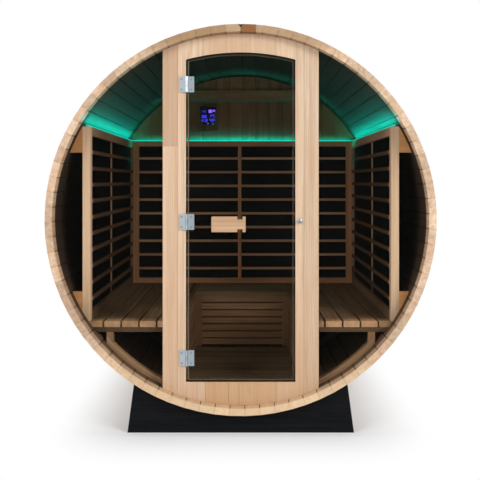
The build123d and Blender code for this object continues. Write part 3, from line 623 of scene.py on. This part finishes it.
def door_rim(x, z):
    reach = (x * x + (z - ARCH_CENTRE_Z) * (z - ARCH_CENTRE_Z)).root()
    left = 1 - x.eased(*LEFT_RIM)
    others = x.eased(*RIGHT_RIM).most(reach.eased(*ARCH_RIM)) * 0.5
    return left.most(others).most((1 - z.eased(*BOTTOM_RIM)) * 0.8)


def window_rim(x, z):
    return abs(x).under(WINDOW_RIM)


dress(glass_material("door_pane", door_rim), "door_glass")
dress(glass_material("window_pane", window_rim), "window_left", "window_right")

# Hinges
# Square stainless leaves, three pairs, each leaf held by two screws with a hexagon socket. The
# screws of the inner leaves turn with the door.
HINGE_HEIGHTS = (0.385, 1.073, 1.768)
SCREW_OFFSET = 0.026
SCREW_Y = -0.7636
SCREW_SIZES = {"Head Radius": 0.0048, "Head Height": 0.0022, "Socket Radius": 0.0022}


def realise(name, tree, sizes, spots=()):
    """Run a Geometry Nodes tree on a piece and keep the result as a plain mesh."""
    mesh = bpy.data.meshes.new(name)
    mesh.from_pydata(spots, [], [])
    piece = bpy.data.objects.new(name, mesh)
    bpy.context.scene.collection.objects.link(piece)
    maker = piece.modifiers.new("maker", "NODES")
    maker.node_group = tree
    for item in tree.interface.items_tree:
        if item.item_type == "SOCKET" and item.in_out == "INPUT" and item.name in sizes:
            maker[item.identifier] = sizes[item.name]
    ready = piece.evaluated_get(bpy.context.evaluated_depsgraph_get())
    made = bpy.data.meshes.new_from_object(ready)
    piece.modifiers.remove(maker)
    piece.data = made
    shape = bmesh.new()
    shape.from_mesh(made)
    bmesh.ops.recalc_face_normals(shape, faces=shape.faces)
    shape.to_mesh(made)
    shape.free()
    made.shade_flat()
    return piece


def new_tree(name, inputs):
    """An empty Geometry Nodes tree with these named inputs, and its group input node."""
    tree = bpy.data.node_groups.new(name, "GeometryNodeTree")
    for socket, kind in inputs:
        tree.interface.new_socket(socket, in_out="INPUT", socket_type="NodeSocket" + kind)
    tree.interface.new_socket("Geometry", in_out="OUTPUT", socket_type="NodeSocketGeometry")
    return tree, Flow(tree).node("NodeGroupInput")


def end_tree(geometry, material):
    """Real geometry with its material leaves the tree."""
    solid = geometry.node("GeometryNodeRealizeInstances", {}, {"Geometry": geometry})
    values = {"Geometry": solid, "Material": material}
    finished = geometry.node("GeometryNodeSetMaterial", {}, values)
    geometry.node("NodeGroupOutput", {}, {"Geometry": finished})


hinge_steel = steel_material("hinge_steel", (0.50, 0.56, 0.60), (170, 170, 6), 0.2)
screw_steel = steel_material("screw_steel", (0.30, 0.32, 0.34), (300, 300, 300), 0.2)
# Painted shade: the door's leaves are a darker copy of the hinge steel.
shaded_leaf_steel = steel_material("shaded_leaf_steel", (0.40, 0.46, 0.50), (170, 170, 6), 0.2)
dress(hinge_steel, "hinge_frame_leaves")
dress(shaded_leaf_steel, "hinge_door_leaves")
screw_tree, given = new_tree(
    "socket_screws",
    [
        ("Places", "Geometry"),
        ("Head Radius", "Float"),
        ("Head Height", "Float"),
        ("Socket Radius", "Float"),
    ],
)
head = given.node(
    "GeometryNodeMeshCylinder",
    {"fill_type": "NGON"},
    {"Vertices": 20, "Radius": given.also("Head Radius"), "Depth": given.also("Head Height")},
)
recess = given.node(
    "GeometryNodeMeshCylinder",
    {"fill_type": "NGON"},
    {"Vertices": 6, "Radius": given.also("Socket Radius"), "Depth": given.also("Head Height")},
)
lifted = given.node(
    "GeometryNodeTransform",
    {},
    {"Geometry": recess, "Translation": given.point(0.0, 0.0, given.also("Head Height") * 0.4)},
)
cut = given.node("GeometryNodeMeshBoolean", {"operation": "DIFFERENCE"}, {0: head, 1: lifted})
screws = given.node(
    "GeometryNodeInstanceOnPoints",
    {},
    {"Points": given.also("Places"), "Instance": cut, "Rotation": (math.pi / 2, 0, 0)},
)
end_tree(screws, screw_steel)
for screw_name, body, screw_x in (
    ("frame_leaf_screws", "cabin", -0.2985),
    ("door_leaf_screws", "door", -0.2500),
):
    spots = [
        (screw_x, SCREW_Y, hinge_z + offset)
        for hinge_z in HINGE_HEIGHTS
        for offset in (-SCREW_OFFSET, SCREW_OFFSET)
    ]
    hinge_screws = realise(screw_name, screw_tree, SCREW_SIZES, spots)
    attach(hinge_screws, body)

# Handle and catch
# A notched block of sanded softwood on two spacers, outside and inside the door, and a turned
# steel button on the wall that keeps the door shut.
HANDLE_Z = 1.061
PANE_MIDDLE = -0.754
handle_wood, flow = new_material("handle_wood")
x, y, z = flow.places()
colour, relief = solid_wood(
    flow,
    x,
    z - HANDLE_Z,
    y + 0.75,
    y.over(PANE_MIDDLE) + 8,
    pale=(0.70, 0.46, 0.285),
    deep=(0.40, 0.235, 0.12),
    ring_gap=0.0045,
)
close_material(flow, wood_values(flow, colour, relief, relief_depth=0.0004))
dress(handle_wood, "door_handle")
catch_steel = steel_material("catch_steel", (0.30, 0.35, 0.39), (260, 260, 260), 0.3)
dress(catch_steel, "door_catch")

# Back wall
# Upright tongued and grooved boards scribed to the ring, painted darker inside as shade, with a
# level batten across them near the top.
BACK_FRONT = 0.7002
BACK_MIDDLE = 0.72
BACK_REAR = 0.7378
BACK_BOARDS = 20
BACK_EASE = 0.0022
BACK_END_GAP = 0.001


def inside_wood(name, pale, deep, place, finish=None):
    """Softwood with painted shade, darker than its own colour as the room's inside is dim. place(x,
    y, z) gives the run, width, depth and number of a board.
    """
    material, flow = new_material(name)
    x, y, z = flow.places()
    colour, relief = solid_wood(flow, *place(x, y, z), pale, deep)
    if finish:
        colour = finish(colour, x, y, z)
    close_material(flow, wood_values(flow, colour, relief, sheen=0.04))
    return material


back_reach = ROOM_RADIUS - 0.0012
back_pitch = 2 * back_reach / BACK_BOARDS
back_outlines = []
for index in range(BACK_BOARDS):
    start = -back_reach + index * back_pitch + JOINT_GAP
    end = start + back_pitch - 2 * JOINT_GAP
    upper = [(x, z - BACK_END_GAP) for x, z in along(start, end, crown)]
    lower = [(x, z + BACK_END_GAP) for x, z in along(end, start, keel)]
    back_outlines.append(upper + lower)
back_boards = board_wall(
    "back_boards", back_outlines, BACK_FRONT, BACK_REAR, BACK_EASE, BACK_EASE
)


def back_place(x, y, z):
    order = (x + back_reach) / back_pitch
    return z, (order.rest() - 0.5) * back_pitch, y - BACK_MIDDLE, order.whole() + 40


def back_tone_and_shade(colour, x, y, z):
    """Redder beside the doorway's width, and paler on the outside face, which is left without the
    inside's painted shade.
    """
    order = (x + back_reach) / back_pitch
    groove = abs(order.rest() - 0.5).eased(0.46, 0.49)
    colour = x.mix(groove * 0.7, colour, colour.dim(0.3))
    beside = abs(x).eased(0.28, 0.5) * y.under(BACK_FRONT + 0.0048)
    colour = x.mix(beside * 0.85, colour, (0.25, 0.055, 0.022))
    return x.mix(y.over(BACK_MIDDLE), colour, x.mix(0.6, colour.dim(2.4), (0.62, 0.44, 0.28)))


back_wood = inside_wood(
    "back_wood", (0.32, 0.155, 0.080), (0.16, 0.068, 0.030), back_place, back_tone_and_shade
)
back_boards.data.materials.append(back_wood)
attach(back_boards, "cabin")
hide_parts("back_wall")
dress(
    inside_wood(
        "batten_wood",
        (0.36, 0.190, 0.095),
        (0.20, 0.095, 0.042),
        lambda x, y, z: (x, z - 1.89, y - 0.69, y.over(9) + 5),
    ),
    "back_batten",
)

# Control panel
# A black glass touch screen on a wooden plate under the batten, with rows of plain blue and violet
# marks lit up behind its face.
SCREEN_FACE = 0.6705
MARK_GLOW = 1.3
dress(
    inside_wood(
        "plate_wood",
        (0.20, 0.13, 0.072),
        (0.10, 0.060, 0.030),
        lambda x, y, z: (z, x + 0.245, y - 0.69, y.over(9) + 6),
    ),
    "control_plate",
)
screen_glass, flow = new_material("screen_glass")
x, y, z = flow.places()
screen_low, screen_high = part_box("control_screen")
screen_width = screen_high.x - screen_low.x
screen_height = screen_high.z - screen_low.z
over_screen = (x - screen_low.x) / screen_width
down_screen = (screen_high.z - z) / screen_height
lit = flow.mix(0.0, (0, 0, 0), (0, 0, 0))
blue = (0.03, 0.025, 0.62)
for left, right, top, bottom, colour in (
    (0.12, 0.19, 0.18, 0.30, (0.02, 0.015, 0.24)),
    (0.23, 0.36, 0.19, 0.32, (0.03, 0.02, 0.34)),
    (0.54, 0.74, 0.16, 0.33, (0.26, 0.12, 1.0)),
    (0.78, 0.95, 0.16, 0.27, (0.20, 0.09, 0.85)),
    (0.11, 0.42, 0.45, 0.62, blue),
    (0.64, 0.90, 0.43, 0.49, blue),
    (0.64, 0.70, 0.49, 0.60, (0.02, 0.015, 0.4)),
    (0.84, 0.90, 0.49, 0.60, (0.02, 0.015, 0.4)),
    (0.09, 0.24, 0.69, 0.82, (0.025, 0.02, 0.45)),
    (0.30, 0.48, 0.66, 0.84, (0.03, 0.025, 0.5)),
    (0.58, 0.92, 0.68, 0.76, blue),
    (0.66, 0.84, 0.78, 0.84, (0.02, 0.015, 0.4)),
    (0.46, 0.54, 0.90, 0.95, (0.03, 0.22, 0.9)),
    (0.77, 0.84, 0.92, 0.96, (0.0, 0.35, 0.36)),
):
    across = over_screen.over(left) * over_screen.under(right)
    down = down_screen.over(top) * down_screen.under(bottom)
    lit = flow.mix(across * down * y.under(SCREEN_FACE), lit, colour)
values = {
    "Base Color": (0.006, 0.006, 0.010, 1),
    "Roughness": 0.08 + flow.noise(x * 40, y * 40, z * 40) * 0.06,
    "Emission Color": lit,
    "Emission Strength": MARK_GLOW,
}
close_material(flow, values)
dress(screen_glass, "control_screen")

# Floor
# Planed softwood boards laid across the footwell on two long bearers, with narrow gaps between them
# and their ends scribed to the staves.
FLOOR_START = -0.7127
FLOOR_PITCH = 0.097


def floor_place(x, y, z):
    order = (y - FLOOR_START) / FLOOR_PITCH
    return x, (order.rest() - 0.5) * FLOOR_PITCH, z - 0.19, order.whole() + 60


dress(
    inside_wood("floor_wood", (0.21, 0.145, 0.080), (0.11, 0.070, 0.036), floor_place),
    "floor_boards",
)
dress(
    inside_wood(
        "bearer_wood",
        (0.22, 0.150, 0.085),
        (0.12, 0.075, 0.038),
        lambda x, y, z: (y, abs(x) - 0.12, z - 0.15, x.over(0) + 70),
    ),
    "floor_bearers",
)

# Benches
# Planks with eased edges on bars and legs, on curved cleats that follow the staves. Slatted fronts
# between stiles close the footwell. The wood is a warm mid brown, painted darker under the planks
# as shade.
SIDE_START = 0.2542
SIDE_PITCH = 0.0915
BACK_START = 0.262
BACK_PITCH = 0.08928
PLANK_MIDDLE = 0.544
SLAT_PITCH = 0.046
PANEL_TOP = 0.5287
PANEL_MIDDLE = -0.2195
SIDE_STILE = 0.4433
BACK_STILE = 0.2616
BAR_BOTTOM = 0.5036
BARREL_FRONT = -0.8
STATION_PITCH = 0.5
CLEAT_RADIUS = 0.93


def side_plank_place(x, y, z):
    order = (abs(x) - SIDE_START) / SIDE_PITCH
    number = order.whole() + x.over(0) * 9 + 80
    return y, (order.rest() - 0.5) * SIDE_PITCH, z - PLANK_MIDDLE, number


def plank_shade(colour, x, y, z):
    """Painted shade: the planks are darker from just behind their cut ends at the front, so the
    ends are lighter than the tops.
    """
    return x.mix(y.eased(-0.69, -0.60), colour, colour.dim(0.42))


bench_pale = (0.55, 0.34, 0.185)
bench_deep = (0.32, 0.175, 0.082)
dress(
    inside_wood("side_plank_wood", bench_pale, bench_deep, side_plank_place, plank_shade),
    "bench_planks_left",
    "bench_planks_right",
)


def back_plank_place(x, y, z):
    order = (y - BACK_START) / BACK_PITCH
    return x, (order.rest() - 0.5) * BACK_PITCH, z - PLANK_MIDDLE, order.whole() + 100


# Painted shade: the back bench's planks are given darker than the side ones.
dress(
    inside_wood("back_plank_wood", (0.22, 0.145, 0.08), (0.12, 0.07, 0.035), back_plank_place),
    "bench_planks_back",
)


def side_panel_place(x, y, z):
    order = (PANEL_TOP - z) / SLAT_PITCH
    stile = abs(y - PANEL_MIDDLE).over(SIDE_STILE)
    run = stile.choose(y, z)
    width = stile.choose((order.rest() - 0.5) * SLAT_PITCH, y)
    number = stile.choose(order.whole() + x.over(0) * 9, y.over(0) + 20) + 110
    return run, width, x, number


def back_panel_place(x, y, z):
    order = (PANEL_TOP - z) / SLAT_PITCH
    stile = abs(x).over(BACK_STILE)
    run = stile.choose(x, z)
    width = stile.choose((order.rest() - 0.5) * SLAT_PITCH, x)
    return run, width, y, stile.choose(order.whole(), x.over(0) + 20) + 140


panel_pale = (0.31, 0.175, 0.088)
panel_deep = (0.18, 0.092, 0.040)
dress(
    inside_wood("side_panel_wood", panel_pale, panel_deep, side_panel_place),
    "bench_front_left",
    "bench_front_right",
)
dress(inside_wood("back_panel_wood", panel_pale, panel_deep, back_panel_place), "bench_front_back")


def frame_place(x, y, z):
    bar = z.over(BAR_BOTTOM)
    station = ((y - BARREL_FRONT) / STATION_PITCH).whole() + x.over(0) * 4
    return bar.choose(z, x), bar.choose(x, z), y, station + bar * 9 + 160


def frame_shade(colour, x, y, z):
    """Painted shade: darker away from the front, and darker still on the bars close under the
    planks.
    """
    shaded = x.mix(y.eased(-0.69, -0.55), colour, colour.dim(0.4))
    return x.mix(z.over(BAR_BOTTOM), shaded, shaded.dim(0.33))


dress(
    inside_wood("frame_wood", (0.34, 0.21, 0.115), (0.19, 0.11, 0.055), frame_place, frame_shade),
    "bench_frames",
)


def cleat_place(x, y, z):
    up = z - AXIS_Z
    radius = (x * x + up * up).root()
    run = x.maths("ARCTAN2", x, up) * ROOM_RADIUS
    station = ((y - BARREL_FRONT) / STATION_PITCH).whole() + x.over(0) * 4
    return run, radius - CLEAT_RADIUS, y, station + 180


dress(
    inside_wood("cleat_wood", (0.48, 0.30, 0.165), (0.27, 0.155, 0.078), cleat_place, frame_shade),
    "bench_cleats",
)

# Heater guards
# Posts and rails of planed softwood round each heater, with thin level slats between. The front
# posts are as pale as the front wall, and the rest is painted darker as shade.
GUARD_MIDDLE_Z = 1.0596
GUARD_RAIL_REACH = 0.4543
GUARD_MIDDLE_Y = -0.0016
GUARD_POST_REACH = 0.6576
BACK_GUARD_MIDDLE_Z = 1.0597
BACK_RAIL_REACH = 0.4654
BACK_POST_REACH = 0.7327
POST_BACK = (-0.664, -0.655)
LOWER_RAIL_TOP = 0.66
guard_pale = (0.75, 0.535, 0.355)
guard_deep = (0.54, 0.35, 0.20)


def guard_place(x, y, z):
    level_part = abs(z - GUARD_MIDDLE_Z).over(GUARD_RAIL_REACH)
    rail = level_part * abs(y - GUARD_MIDDLE_Y).under(GUARD_POST_REACH)
    number = (y * 4).whole() * (1 - rail) + rail * z.over(1) * 3 + x.over(0) * 17
    return rail.choose(z, y), rail.choose(y, z), x, number + 200


def guard_shade(colour, x, y, z):
    """Painted shade: darker from just behind the front posts, most of all on the lower rails, and
    painted lighter on the right side.
    """
    darker = x.mix(0.4, colour.dim(0.5), (0.34, 0.145, 0.06))
    darker = darker.dim(z.under(LOWER_RAIL_TOP).choose(1.0, 0.4))
    darker = darker.dim(x.over(0).choose(1.0, 1.4))
    return x.mix(y.eased(*POST_BACK), colour, darker)


dress(
    inside_wood("guard_wood", guard_pale, guard_deep, guard_place, guard_shade),
    "side_guard_frames",
)


def back_guard_place(x, y, z):
    level_part = abs(z - BACK_GUARD_MIDDLE_Z).over(BACK_RAIL_REACH)
    rail = level_part * abs(x).under(BACK_POST_REACH)
    number = (x * 4).whole() * (1 - rail) + rail * z.over(1) * 3
    return rail.choose(z, x), rail.choose(x, z), y, number + 240


dress(
    inside_wood("back_guard_wood", (0.66, 0.34, 0.17), (0.44, 0.20, 0.085), back_guard_place),
    "back_guard_frame",
)
dress(
    inside_wood(
        "infill_wood",
        (0.68, 0.345, 0.135),
        (0.45, 0.21, 0.072),
        lambda x, y, z: (x, z - 1, y + 0.7, z.over(1) + x.over(0) * 3 + 260),
    ),
    "side_infills",
)

SIDE_SLATS_START = 0.765
slat_wood, flow = new_material("slat_wood")
x, y, z = flow.places()
board = flow.node("ShaderNodeAttribute", {"attribute_name": "board"}, out="Fac")
side = abs(x).over(SIDE_SLATS_START)
colour, relief = solid_wood(
    flow,
    side.choose(x, y),
    z,
    side.choose(y, x),
    board + x.over(0) * 13 + 300,
    pale=(0.80, 0.44, 0.235),
    deep=(0.58, 0.29, 0.14),
)
# Painted light and shade: the side slats are lit at their front ends and dark behind, the back
# slats a little darker throughout.
slat_light_and_shade = 0.15 + 0.45 * (1 - y.eased(-0.655, -0.62))
colour = colour.dim(side.choose(0.82, slat_light_and_shade))
close_material(flow, wood_values(flow, colour, relief, sheen=0.04))

bar_tree, given = new_tree(
    "level_bars",
    [
        ("Start", "Vector"),
        ("End", "Vector"),
        ("Height", "Float"),
        ("Thickness", "Float"),
        ("Ease", "Float"),
        ("Ease Steps", "Int"),
        ("Pitch", "Float"),
        ("Count", "Int"),
        ("Finish", "Material"),
    ],
)
section = given.node(
    "GeometryNodeCurvePrimitiveQuadrilateral",
    {"mode": "RECTANGLE"},
    {"Width": given.also("Thickness"), "Height": given.also("Height")},
)
eased_section = given.node(
    "GeometryNodeFilletCurve",
    {"mode": "POLY"},
    {"Curve": section, "Count": given.also("Ease Steps"), "Radius": given.also("Ease")},
)
run_line = given.node(
    "GeometryNodeCurvePrimitiveLine",
    {"mode": "POINTS"},
    {"Start": given.also("Start"), "End": given.also("End")},
)
bar = given.node(
    "GeometryNodeCurveToMesh",
    {},
    {"Curve": run_line, "Profile Curve": eased_section, "Fill Caps": True},
)
rows = given.node(
    "GeometryNodeMeshLine",
    {"mode": "OFFSET", "count_mode": "TOTAL"},
    {"Count": given.also("Count"), "Offset": given.point(0.0, 0.0, 0 - given.also("Pitch"))},
)
stack = given.node("GeometryNodeInstanceOnPoints", {}, {"Points": rows, "Instance": bar})
numbered = given.node(
    "GeometryNodeStoreNamedAttribute",
    {"data_type": "FLOAT", "domain": "INSTANCE"},
    {"Geometry": stack, "Name": "board", "Value": given.node("GeometryNodeInputIndex")},
)
end_tree(numbered, given.also("Finish"))


def level_bars(name, start, end, section_sizes, pitch, count, finish):
    """A stack of level bars, whose first one runs between these two points along its middle."""
    run_sizes = {"Start": start, "End": end, "Pitch": pitch, "Count": count, "Finish": finish}
    bars = realise(name, bar_tree, {**section_sizes, **run_sizes})
    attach(bars, "cabin")
    return bars


SIDE_SLAT = {"Height": 0.020, "Thickness": 0.014, "Ease": 0.0025, "Ease Steps": 3}
SIDE_SLAT_X = 0.7801
SIDE_SLAT_COUNT = 10
BACK_SLAT = {"Height": 0.017, "Thickness": 0.014, "Ease": 0.0022, "Ease Steps": 3}
BACK_SLAT_COUNT = 9
BACK_BAYS = (("left", -0.7323, -0.0325), ("right", -0.0075, 0.7323))
SLAT_END_GAP = 0.0002
side_low, side_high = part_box("side_guard_slats")
side_top = side_high.z - SIDE_SLAT["Height"] / 2
side_rise = side_high.z - side_low.z - SIDE_SLAT["Height"]
for side_name, side in (("left", -1), ("right", 1)):
    slats = level_bars(
        f"guard_slats_{side_name}",
        (side * SIDE_SLAT_X, side_low.y + SLAT_END_GAP, side_top),
        (side * SIDE_SLAT_X, side_high.y - SLAT_END_GAP, side_top),
        SIDE_SLAT,
        side_rise / (SIDE_SLAT_COUNT - 1),
        SIDE_SLAT_COUNT,
        slat_wood,
    )
    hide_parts("side_guard_slats")
back_low, back_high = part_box("back_guard_slats")
back_y = back_low.y + BACK_SLAT["Thickness"] / 2
back_top = back_high.z - BACK_SLAT["Height"] / 2
back_rise = back_high.z - back_low.z - BACK_SLAT["Height"]
for bay_name, bay_start, bay_end in BACK_BAYS:
    slats = level_bars(
        f"back_slats_{bay_name}",
        (bay_start, back_y, back_top),
        (bay_end, back_y, back_top),
        BACK_SLAT,
        back_rise / (BACK_SLAT_COUNT - 1),
        BACK_SLAT_COUNT,
        slat_wood,
    )
    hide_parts("back_guard_slats")

# Heater panels
# Matt black carbon sheets fixed behind the guards, two to each, with fine level ribs pressed into
# the faces that they turn to the room.
RIB = {"Height": 0.0062, "Thickness": 0.0024, "Ease": 0.0008, "Ease Steps": 1}
RIB_PITCH = 0.0105
RIB_OVERLAP = 0.0004
RIB_END = 0.004
RIB_TOP = 0.008
RIB_MARGIN = 0.012
SIDE_SHEET_X = 0.7931
SIDE_GAP = (-0.076, -0.044)
BACK_GAP = (-0.036, -0.004)
BACK_SHEETS_START = 0.6
heater_black, flow = new_material("heater_black")
x, y, z = flow.places()
grain = flow.noise(x * 700, y * 700, z * 700, 2.0)
sheen = flow.noise(x * 6, y * 6, z * 6, 2.0)
bump = {"Height": grain, "Strength": 0.3, "Distance": 0.0003}
# Painted light and shade: the back sheets are five times lighter than the side sheets, which the
# lamps reach.
values = {
    "Base Color": flow.mix(
        grain * 0.6 + sheen * 0.4, (0.0018, 0.0018, 0.002), (0.0045, 0.004, 0.0035)
    ).dim(y.over(BACK_SHEETS_START).choose(1.0, 5.0)),
    "Roughness": 0.4 + grain * 0.2,
    "Specular IOR Level": 0.01,
    "Normal": flow.node("ShaderNodeBump", {}, bump),
}
close_material(flow, values)
dress(heater_black, "side_heater_panels", "back_heater_panels")
side_low, side_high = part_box("side_heater_panels")
rib_offset = RIB_OVERLAP - RIB["Thickness"] / 2
rib_runs = []
for side_name, side in (("left", -1), ("right", 1)):
    rib_x = side * (SIDE_SHEET_X + rib_offset)
    front_end, rear_end = side_low.y + RIB_END, side_high.y - RIB_END
    rib_runs.append((f"{side_name}_front", (rib_x, front_end), (rib_x, SIDE_GAP[0])))
    rib_runs.append((f"{side_name}_rear", (rib_x, SIDE_GAP[1]), (rib_x, rear_end)))
back_low, back_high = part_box("back_heater_panels")
rib_y = back_low.y + rib_offset
rib_runs.append(("back_left", (back_low.x + RIB_END, rib_y), (BACK_GAP[0], rib_y)))
rib_runs.append(("back_right", (BACK_GAP[1], rib_y), (back_high.x - RIB_END, rib_y)))
for rib_name, rib_start, rib_end in rib_runs:
    low, high = (back_low, back_high) if rib_name.startswith("back") else (side_low, side_high)
    level_bars(
        f"heater_ribs_{rib_name}",
        (*rib_start, high.z - RIB_TOP),
        (*rib_end, high.z - RIB_TOP),
        RIB,
        RIB_PITCH,
        int((high.z - low.z - RIB_MARGIN) / RIB_PITCH),
        heater_black,
    )

# Light strips
# Teal light strips in slim channels on top of the guards, and a dimmer one under the batten. Thin
# lamps beside them light the staves and the back wall, and small ones the end of the roof.
CHANNEL_TOP = 1.5622
BATTEN_STRIP = 1.7
LAMP_HEIGHT = 1.572
LAMP_WIDTH = 0.012
ROOF_LAMP_RADIUS = 0.78
ROOF_LAMP_Y = 0.63
ROOF_LAMP_STEP = 20
light_strip, flow = new_material("light_strip")
x, y, z = flow.places()
diffuser = z.over(CHANNEL_TOP)
dots = 0.75 + 0.25 * flow.noise(x * 60, y * 60, z * 60)
under_batten = z.over(BATTEN_STRIP)
glow = flow.mix(diffuser, (0, 0, 0), (0.0, 0.86, 0.62)).dim(dots * under_batten.choose(1.0, 0.03))
channel = flow.mix(diffuser, (0.05, 0.05, 0.05), (0.02, 0.05, 0.04))
# Painted shade: the strip under the batten has a darker channel and diffuser.
values = {
    "Base Color": channel.dim(1 - under_batten * 0.8),
    "Roughness": 0.35 + dots * 0.1,
    "Emission Color": glow,
    "Emission Strength": 1.0,
}
close_material(flow, values)
dress(light_strip, "light_strips")


def thin_lamp(name, place, level, facing, sizes, power, colour, spread=math.pi):
    """A lamp that the camera doesn't see. It lies along level and shines away from facing."""
    lamp_data = bpy.data.lights.new(name, "AREA")
    lamp_data.shape = "RECTANGLE"
    lamp_data.size, lamp_data.size_y = sizes
    lamp_data.spread = spread
    lamp_data.energy = power
    lamp_data.color = colour
    lamp = bpy.data.objects.new(name, lamp_data)
    turned = Matrix((level, facing.cross(level), facing)).transposed().to_4x4()
    lamp.matrix_world = Matrix.Translation(place) @ turned
    lamp.visible_camera = False
    bpy.context.scene.collection.objects.link(lamp)


for side_name, side in (("left", -1), ("right", 1)):
    place = Vector((side * 0.770, -0.02, LAMP_HEIGHT))
    facing = (place - Vector((side * 0.82, -0.02, 1.745))).normalized()
    along_wall = Vector((0, 1, 0))
    thin_lamp(
        f"glow_{side_name}", place, along_wall, facing, (1.34, LAMP_WIDTH), 4.1, (0, 1, 0.87)
    )
place = Vector((0, 0.684, LAMP_HEIGHT))
facing = (place - Vector((0, 0.77, 1.622))).normalized()
thin_lamp("glow_back", place, Vector((1, 0, 0)), facing, (1.54, LAMP_WIDTH), 1.0, (0, 0.84, 1))
for step in range(-3, 4):
    lean = math.radians(ROOF_LAMP_STEP * step)
    across, upward = math.sin(lean), math.cos(lean)
    thin_lamp(
        f"bounce_{step + 4}",
        Vector((ROOF_LAMP_RADIUS * across, ROOF_LAMP_Y, AXIS_Z + ROOF_LAMP_RADIUS * upward)),
        Vector((upward, 0, -across)),
        Vector((-across, 0.55, -upward)).normalized(),
        (0.28, 0.02),
        0.12,
        (0, 1, 0.74),
        math.radians(75),
    )
